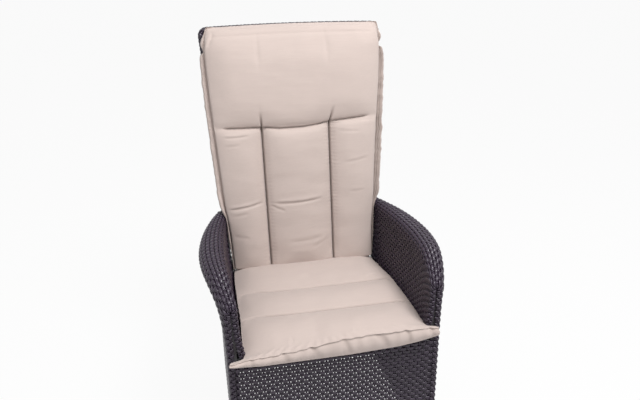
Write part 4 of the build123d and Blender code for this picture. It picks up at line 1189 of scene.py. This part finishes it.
def back_details(mesh):
    """Creases, tufts, gathers and folds of the back cushion's face, and painted shade in its creases
    and the border's groove.
    """
    u, v, side = read_marks(mesh)
    points = read_points(mesh)
    x, y = points[:, 0].copy(), v * FACE_TOP
    face = ramp((side - 0.86) / 0.13)
    over = y - along(HEADER_SEAM, u)
    below = ramp(-over / 0.004)
    d = x - np.where(u < 0, along(CHANNEL_LEFT, y), along(CHANNEL_RIGHT, y))
    channel = bell(d, STITCH) * below
    header = bell(over, STITCH) * ramp((0.93 - np.abs(u)) / 0.10)
    reach = np.clip(over, 0, 1)
    lean = np.where(u > 0, TUFT_LEAN_RIGHT, TUFT_LEAN_LEFT) * reach
    tuft = bell(d - lean, TUFT_WIDTH + TUFT_SPREAD * reach)
    tuft = tuft * ramp(1 - over / TUFT_HEIGHT) * (over > -0.002)
    crease = -CHANNEL_CREASE * channel - CHANNEL_DIP * bell(d, DIP_REACH) * below
    crease = crease - HEADER_CREASE * header
    crease = crease - HEADER_DIP * bell(over, DIP_REACH) - TUFT_DEPTH * tuft
    ripple = np.sin(2 * pi * y / GATHER_PITCH + 2.6 * rough(points, 24, 1))
    strength = 0.6 + 0.6 * rough(points, 9, 8)
    beside = bell(np.abs(d) - GATHER_OFF, DIP_REACH)
    gathers = GATHER_HEIGHT * ripple * strength * beside * below
    creased = folds(x, y, BACK_FOLDS) * ramp(np.abs(d) / 0.008)
    top = -TOP_SEAM_DEPTH * bell(y - TOP_SEAM_PLACE, TOP_SEAM_WIDTH)
    top = top * ramp((0.97 - np.abs(u)) / 0.06)
    points[:, 2] += face * (crease + gathers + unevenness(points, BACK_SOFT) + creased + top)
    count = len(LEFT_RINGS) - 1
    # painted shade in the border's groove, darker on the right, fading out near the top
    left, right = (sum(bell(side - (1 - 2 * ring / count), GROOVE_SHADE_REACH) * depth
                       for ring, depth in rings.items()) for rings in (LEFT_GROOVE_SHADE, RIGHT_GROOVE_SHADE))
    groove = np.where(u > 0, right, left) * (np.abs(u) > 0.999)
    groove = groove * (1 - ramp((y - GROOVE_SHADE_END) / GROOVE_SHADE_FADE))
    groove = groove * (0.8 + 0.5 * rough(points, 30, 12))
    write_points(mesh, points)
    # painted shade in the channel and header seams and in the tufts, joined with the groove's
    shaded_creases = np.maximum(channel * 0.9, np.maximum(header * 0.5, tuft))
    paint_crease_shade(mesh, np.maximum(face * shaded_creases, groove))


# Seat cushion, in the seat's plane: front edge, rear edge and the two cross seams with their bends,
# half widths of its face at places along it, heights of the border's seam and foot across the front
# in millimetres, and the border's rings: how far each stands out and its share of the way down
SEAT_FRONT, SEAT_REAR = -0.463, 0.028
SEAT_DEPTH = SEAT_REAR - SEAT_FRONT
SEAT_SEAMS = ((-0.172, 0.024, 0.022), (-0.311, 0.018, 0.008))
SEAT_LEFT = ((-0.463, 0.2295), (-0.437, 0.2285), (-0.38, 0.2270), (-0.30, 0.2240),
             (-0.16, 0.2235), (-0.08, 0.2225), (0.0, 0.2190), (0.028, 0.2140))
SEAT_RIGHT = ((-0.463, 0.2295), (-0.437, 0.2285), (-0.40, 0.2290), (-0.34, 0.2300),
              (-0.24, 0.2305), (-0.16, 0.2285), (-0.10, 0.2225), (-0.04, 0.2150),
              (0.0, 0.2120), (0.028, 0.2080))
FRONT_SEAM = ((-1.0, -30), (-0.93, -27), (-0.8, -22), (-0.6, -19), (-0.4, -14), (-0.2, -7),
              (-0.05, 0), (0.2, 4), (0.6, 5), (0.9, 2), (1.0, -2))
FRONT_FOOT = ((-1.0, -40), (-0.9, -44), (-0.7, -48), (-0.4, -48), (0.1, -48), (0.4, -45),
              (0.6, -43), (0.8, -37), (1.0, -27))
SEAT_RINGS = ((0.0, 0.0), (0.34, 0.0), (0.52, 0.03), (0.36, 0.06), (0.06, 0.09), (0.24, 0.14),
              (0.74, 0.28), (1.0, 0.50), (0.85, 0.72), (0.45, 0.88), (0.0, 1.0))
FLANGE_RINGS_OUT = (0.0, 0.10, -0.05, -0.12, 0.02, 0.45, 0.86, 1.0, 0.90, 0.5, 0.0)
FLANGE_RINGS_DOWN = (0.0, 0.10, 0.24, 0.34, 0.40, 0.33, 0.28, 0.36, 0.55, 0.80, 1.0)

# Its wings round the front posts, its edge, crown and foot, and the border's width and ripples
WING_LEFT, WING_RIGHT, WING_START, WING_RUN = 0.264, 0.252, -0.440, 0.021
SAG_START, SAG_RUN = -0.330, 0.125
SIDE_DROP, SIDE_DROP_END, SIDE_DROP_FADE = 0.007, -0.42, 0.04
REAR_DIP, REAR_DIP_RUN = 0.003, 0.033
SEAT_CROWN, SEAT_CROWN_POWER = 0.006, 0.7
LIFT_START, LIFT_RUN = -0.425, 0.036
UNDER_HALF, UNDER_RUN, UNDER_STEP = 0.2145, 0.018, 0.003
FLANGE_START, FLANGE_RISE, FLANGE_END, FLANGE_FADE = -0.125, 0.03, 0.010, 0.02
BORDER_WIDE, FLANGE_WIDE, BORDER_AHEAD, BORDER_BEHIND = 0.003, 0.015, 0.007, 0.004
WELT_RINGS, WELT_RING = range(1, 4), 4
FRONT_PACE, SEAT_SIDE_PACE, SEAT_SIDE_PHASE, SEAT_RIGHT_PHASE = 13, 30, 40, 8.0
WELT_RIPPLES = ((0.34, 2.1, 5), (0.22, 5.2, 6))
PANEL_RIPPLES = ((0.16, 1, 7), (0.14, 3.3, 8))

# Its stitching: the cross seams, soft unevenness, gathers on the front edge, pleats and wrinkles
SEAT_HELD, SEAM_WIDTH, SEAM_DIP = 0.005, 0.0034, 0.0048
SEAT_SOFT = ((0.0012, 10, 4, (1, 1, 1)), (0.0006, 30, 5, (1, 1, 1)))
EDGE_GATHER, EDGE_GATHER_PLACE, EDGE_GATHER_REACH = 0.0011, 0.005, 0.010
PLEAT_DEPTH, WRINKLE_DEPTH = 0.0024, 0.0011
SEAT_FOLDS = (
    (-226, -302, -178, -303, 2.0, 3.0), (-215, -160, -175, -165, 1.0, 3.5),
    (-118, -455, -108, -420, 1.0, 4.0), (42, -456, 48, -430, 0.8, 4.0),
    (170, -300, 205, -330, 1.2, 4.5), (150, -150, 200, -125, 1.0, 4.5),
)


def seat_y(v):
    """Place from front to rear of a line of the seat's grid."""
    return SEAT_FRONT + SEAT_DEPTH * v


def seat_seam(k, u):
    """Place of a cross seam, which bends back towards the sides."""
    middle, left, right = SEAT_SEAMS[k]
    return middle + np.where(u < 0, left, right) * np.abs(u) ** 4


def near_seams(u, y, width):
    """1 on the two cross seams, falling smoothly to 0 past a few widths."""
    return np.maximum(bell(y - seat_seam(0, u), width), bell(y - seat_seam(1, u), width))


def seat_half(u, y):
    """Half width of the seat cushion's face, with wings that reach round the arms in front."""
    half = table(SEAT_LEFT if u < 0 else SEAT_RIGHT, y)
    wing = (WING_LEFT if u < 0 else WING_RIGHT) - half
    return half + wing * smooth_step((WING_START - y) / WING_RUN)


def seat_edge(u, y):
    """Height of the face's edge: nearly level at the right, sagging at the front left."""
    front = smooth_step((SAG_START - y) / SAG_RUN)
    side = -SIDE_DROP * abs(u) ** 8 * (1 - smooth_step((SIDE_DROP_END - y) / SIDE_DROP_FADE))
    rear = -REAR_DIP * smooth_step((y + REAR_DIP_RUN - SEAT_REAR) / REAR_DIP_RUN)
    return table(FRONT_SEAM, u) / PER_METRE * front + side + rear


def seat_face(u, v):
    """Point of the seat cushion's face."""
    y = seat_y(v)
    seams = [float(seat_seam(k, u)) for k in (0, 1)]
    fields = ((SEAT_FRONT, seams[1]), (seams[1], seams[0]), (seams[0], SEAT_REAR))
    crown = 0.0
    for low, high in fields:
        if low <= y <= high:
            crown = SEAT_CROWN * sin(pi * (y - low) / (high - low)) ** SEAT_CROWN_POWER
    return u * seat_half(u, y), y, crown * (1 - abs(u) ** 6) + seat_edge(u, y)


def seat_foot(u, y):
    """Height of the underside: on the deck, and lifting to the border in front."""
    lift = table(FRONT_FOOT, u) / PER_METRE + SEAT_THICK
    return -SEAT_THICK + lift * smooth_step((LIFT_START - y) / LIFT_RUN)


def seat_under(u, v):
    """Point of the seat cushion's underside."""
    y = seat_y(v)
    wing = seat_half(u, y) - UNDER_HALF
    half = UNDER_HALF + wing * smooth_step((WING_START - y) / UNDER_RUN)
    return u * half, y + UNDER_STEP * (1 - v) ** 12, seat_foot(u, y)


def side_flange(u, y):
    """Share of the flange that stands out at the right rear, beside the face."""
    rise = smooth_step((y - FLANGE_START) / FLANGE_RISE)
    return rise * smooth_step((FLANGE_END - y) / FLANGE_FADE) * float(u > 1 - EDGE)


def seat_outer(u, v):
    """Outer edge of the seat cushion's border."""
    y = seat_y(v)
    wide = BORDER_WIDE + FLANGE_WIDE * side_flange(u, y)
    if v < EDGE:
        return u * (seat_half(u, y) + BORDER_WIDE), y - BORDER_AHEAD
    return u * (seat_half(u, y) + wide), y + (BORDER_BEHIND if v > 1 - EDGE else 0.0)


def seat_border(u, v, ring):
    """The border's rings: a welt, the seam under it and the full panel down to the foot."""
    y = seat_y(v)
    out, share = SEAT_RINGS[ring]
    if v < EDGE:
        place = u * FRONT_PACE
    else:
        place = SEAT_SIDE_PHASE + y * SEAT_SIDE_PACE + SEAT_RIGHT_PHASE * (u > 0)
    if ring in WELT_RINGS:
        out += waver(place, WELT_RIPPLES)
    elif ring > WELT_RING:
        out += waver(place, PANEL_RIPPLES)
    top, foot = seat_edge(u, y), seat_foot(u, y)
    flange = side_flange(u, y)
    out += (FLANGE_RINGS_OUT[ring] - out) * flange
    share += (FLANGE_RINGS_DOWN[ring] - share) * flange
    down = smooth_step((share - 0.45) / 0.55)
    return out, down, top + (foot - top) * share


class ARMCHAIR_OT_seat_cushion(bpy.types.Operator):
    """Make the seat cushion: three cross channels, a welted front border and a side flange"""

    bl_idname = "armchair.seat_cushion"
    bl_label = "Make the seat cushion"

    def execute(self, context):
        places = [(middle - SEAT_FRONT) / SEAT_DEPTH for middle, _, _ in SEAT_SEAMS]
        us = spaced(count=92, places=[0.0, 1.0], reach=0.05, gain=1.2) * 2 - 1
        vs = spaced(count=92, places=places + [0.0], reach=0.020, gain=2.2)
        mesh = Pad(us, vs).mesh("seat_cushion_cover", seat_face, seat_outer, seat_under,
                                len(SEAT_RINGS) - 1, seat_border)
        u, v, side = read_marks(mesh)
        seam = near_seams(u, seat_y(v), SEAT_HELD) * 0.9
        held = np.where(side > 0.99, np.maximum(seam, on_rim(u, v) * 1.0), 1.0)
        piece = filled_pad("seat_cushion_cover", mesh, held, (len(vs), len(us)), most=0.008,
                           rounds=8)
        seat_details(piece.data)
        laid_cushion(piece, SEAT_PLANE, "seat_cushion", "root")
        return {"FINISHED"}


def seat_details(mesh):
    """Shallow seams, gathers along the front and soft folds of the seat cushion, and painted shade
    in its seams, the welt's groove and the front pleats.
    """
    u, v, side = read_marks(mesh)
    points = read_points(mesh)
    x, y = points[:, 0].copy(), seat_y(v)
    face = ramp((side - 0.82) / 0.16)
    seams = near_seams(u, y, SEAM_WIDTH) * (0.75 + 0.25 * rough(points, 14, 9))
    seams = seams * ramp((0.99 - u) / 0.1) * ramp((u + 0.80) / 0.10)
    pulls = np.sin(u * 74 + 3.4 * rough(points, 16, 6)) * (0.7 + 0.6 * rough(points, 10, 10))
    gather = EDGE_GATHER * pulls * bell(v * SEAT_DEPTH - EDGE_GATHER_PLACE, EDGE_GATHER_REACH)
    soft = unevenness(points, SEAT_SOFT)
    points[:, 2] += face * (-SEAM_DIP * seams + soft + gather + folds(x, y, SEAT_FOLDS))
    front = ramp((0.86 - side) / 0.15) * ramp((side + 0.95) / 0.3) * (v < EDGE)
    pleats = np.clip(np.sin(u * 21 + side + 2.4 * rough(points, 9, 11)), 0, 1) ** 6
    wrinkled = WRINKLE_DEPTH * np.sin(u * 48 + 3.0 * rough(points, 13, 7))
    points[:, 1] += front * (PLEAT_DEPTH * pleats + wrinkled)
    count = len(SEAT_RINGS) - 1
    # painted shade in the groove under the welt, in the cross seams and in the front pleats
    welt = bell(side - (1 - 2 * WELT_RING / count), 0.07) * np.where(np.abs(u) > 0.999, 0.8, 0.5)
    write_points(mesh, points)
    paint_crease_shade(mesh, np.maximum(face * seams * 0.5, np.maximum(welt, front * pleats * 0.22)))


# Finishes of the CAD nodes: name, colour, roughness, share of metal and scale of the grain
FINISHES = {
    "frame_paint": ("frame paint", (0.030, 0.026, 0.030), 0.45, 0.0, 700.0),
    "steel": ("zinc plated steel", (0.58, 0.58, 0.60), 0.35, 1.0, 500.0),
    "rod_chrome": ("ground rod", (0.78, 0.78, 0.80), 0.12, 1.0, 900.0),
    "cylinder_paint": ("black cylinder paint", (0.018, 0.018, 0.020), 0.35, 0.0, 600.0),
    "black_plastic": ("moulded black nylon", (0.020, 0.020, 0.022), 0.55, 0.0, 420.0),
}


def make_finishes():
    """Material of each record slot."""
    made = {slot: metal_material(*values) for slot, values in FINISHES.items()}
    return {**made, "wicker": strand(), "cushion": cover()}


class ARMCHAIR_OT_finish_frame(bpy.types.Operator):
    """Give every CAD node that shows its finish"""

    bl_idname = "armchair.finish_frame"
    bl_label = "Finish the frame"

    def execute(self, context):
        finishes = make_finishes()
        for part in frame["record"]["subparts"]:
            node = frame["nodes"][part["node"]]
            node.data.materials.clear()
            node.data.materials.append(finishes[part["material_slot"]])
        return {"FINISHED"}


# Stage: the camera fitted to the photograph, the two lamps and the floor
CAMERA_PLACE = Vector((-0.289, -1.584, 1.348))
CAMERA_YAW, CAMERA_PITCH, CAMERA_ROLL = radians(11.1), radians(22.3), radians(-0.8)
CAMERA_LENS, CAMERA_SENSOR = 35.7, 36.0
LIGHT_TARGET = (0, 0, 0.6)
KEY_PLACE, KEY_SIZE = (0.8, -1.2, 3.1), 1.2
FRONT_PLACE, FRONT_SIZE, FRONT_SHARE_OF_KEY = (-1.6, -2.2, 2.2), 2.0, 0.22
FLOOR_COLOUR, FLOOR_GLOW_SHARE = (0.80, 0.80, 0.80, 1.0), 0.93
WHITE = (1.0, 1.0, 1.0, 1.0)


def add_camera():
    """Camera at the photograph's place and angle."""
    ahead = Vector((sin(CAMERA_YAW) * cos(CAMERA_PITCH), cos(CAMERA_YAW) * cos(CAMERA_PITCH),
                    -sin(CAMERA_PITCH)))
    level = Vector((cos(CAMERA_YAW), -sin(CAMERA_YAW), 0.0))
    rise = level.cross(ahead)
    right = level * cos(CAMERA_ROLL) + rise * sin(CAMERA_ROLL)
    up = rise * cos(CAMERA_ROLL) - level * sin(CAMERA_ROLL)
    data = bpy.data.cameras.new("photograph view")
    data.sensor_width = CAMERA_SENSOR
    data.lens = CAMERA_LENS
    camera = new_object("photograph view", data)
    turn = Matrix((right, up, -ahead)).transposed().to_4x4()
    camera.matrix_world = Matrix.Translation(CAMERA_PLACE) @ turn
    bpy.context.scene.camera = camera


def add_light(name, place, size, power):
    """A soft square lamp aimed at the middle of the chair."""
    data = bpy.data.lights.new(name, "AREA")
    data.size = size
    data.energy = power
    lamp = new_object(name, data)
    aim = (Vector(LIGHT_TARGET) - Vector(place)).to_track_quat("-Z", "Y")
    lamp.matrix_world = Matrix.Translation(place) @ aim.to_matrix().to_4x4()


def seen_rays(tree):
    """1 where the camera looks, straight, by a reflection or through something clear, else 0."""
    rays = add_node(tree, "ShaderNodeLightPath")
    return rays["Is Camera Ray"].maths("MAXIMUM", rays["Is Glossy Ray"]).maths(
        "MAXIMUM", rays["Is Transmission Ray"])


def floor_material():
    """Pale floor that looks white from the camera and keeps the chair's shadow."""
    material = bpy.data.materials.new("pale floor")
    material.use_nodes = True
    tree = material.node_tree
    tree.nodes.clear()
    matt = add_node(tree, "ShaderNodeBsdfDiffuse", {}, {"Color": FLOOR_COLOUR})[0]
    glow = add_node(tree, "ShaderNodeEmission", {}, {"Color": WHITE, "Strength": 1.0})[0]
    mixed = add_node(tree, "ShaderNodeMixShader", {}, {
        0: seen_rays(tree) * FLOOR_GLOW_SHARE, 1: matt, 2: glow})[0]
    add_node(tree, "ShaderNodeOutputMaterial", {}, {"Surface": mixed})
    return material


class ARMCHAIR_OT_stage(bpy.types.Operator):
    """Set the floor, the lights, the world and the camera"""

    bl_idname = "armchair.stage"
    bl_label = "Set the stage"

    def execute(self, context):
        settings = context.scene.armchair_stage
        half = settings.floor_size / 2
        mesh = bpy.data.meshes.new("floor")
        mesh.from_pydata([(-half, -half, 0), (half, -half, 0), (half, half, 0), (-half, half, 0)],
                         [], [(0, 1, 2, 3)])
        mesh.materials.append(floor_material())
        floor = new_object("floor", mesh)
        add_light("key", KEY_PLACE, KEY_SIZE, settings.key_power)
        add_light("front", FRONT_PLACE, FRONT_SIZE, settings.key_power * FRONT_SHARE_OF_KEY)
        world = bpy.data.worlds.new("studio")
        context.scene.world = world
        world.use_nodes = True
        tree = world.node_tree
        tree.nodes.clear()
        strength = seen_rays(tree) * (1.0 - settings.fill_strength) + settings.fill_strength
        glow = add_node(tree, "ShaderNodeBackground", {}, {
            "Color": WHITE, "Strength": strength})[0]
        add_node(tree, "ShaderNodeOutputWorld", {}, {"Surface": glow})
        context.scene.view_settings.view_transform = "Standard"
        add_camera()
        return {"FINISHED"}


class ARMCHAIR_PT_panel(bpy.types.Panel):
    """The armchair's steps and sizes"""

    bl_idname = "ARMCHAIR_PT_panel"
    bl_label = "Armchair"
    bl_space_type = "VIEW_3D"
    bl_region_type = "UI"
    bl_category = "Armchair"

    def draw(self, context):
        for operator in OPERATORS:
            self.layout.operator(operator.bl_idname)
        for group in ("armchair_weave", "armchair_cushions", "armchair_stage"):
            settings = getattr(context.scene, group)
            for name in settings.__annotations__:
                self.layout.prop(settings, name)


SETTINGS = (
    ("armchair_weave", ArmchairWeaveSettings),
    ("armchair_cushions", ArmchairCushionSettings),
    ("armchair_stage", ArmchairStageSettings),
)
OPERATORS = (
    ARMCHAIR_OT_stage,
    ARMCHAIR_OT_finish_frame,
    ARMCHAIR_OT_weave_arms,
    ARMCHAIR_OT_weave_aprons,
    ARMCHAIR_OT_weave_back,
    ARMCHAIR_OT_back_cushion,
    ARMCHAIR_OT_seat_cushion,
)


def register():
    """Registers the settings, the operators and the panel."""
    for name, group in SETTINGS:
        bpy.utils.register_class(group)
        setattr(bpy.types.Scene, name, bpy.props.PointerProperty(type=group))
    for operator in OPERATORS:
        bpy.utils.register_class(operator)
    bpy.utils.register_class(ARMCHAIR_PT_panel)


def unregister():
    """Takes them out again."""
    bpy.utils.unregister_class(ARMCHAIR_PT_panel)
    for operator in reversed(OPERATORS):
        bpy.utils.unregister_class(operator)
    for name, group in SETTINGS:
        delattr(bpy.types.Scene, name)
        bpy.utils.unregister_class(group)


def main():
    """Makes every piece in order."""
    register()
    for operator in OPERATORS:
        family, name = operator.bl_idname.split(".")
        getattr(getattr(bpy.ops, family), name)()


if __name__ == "__main__":
    main()
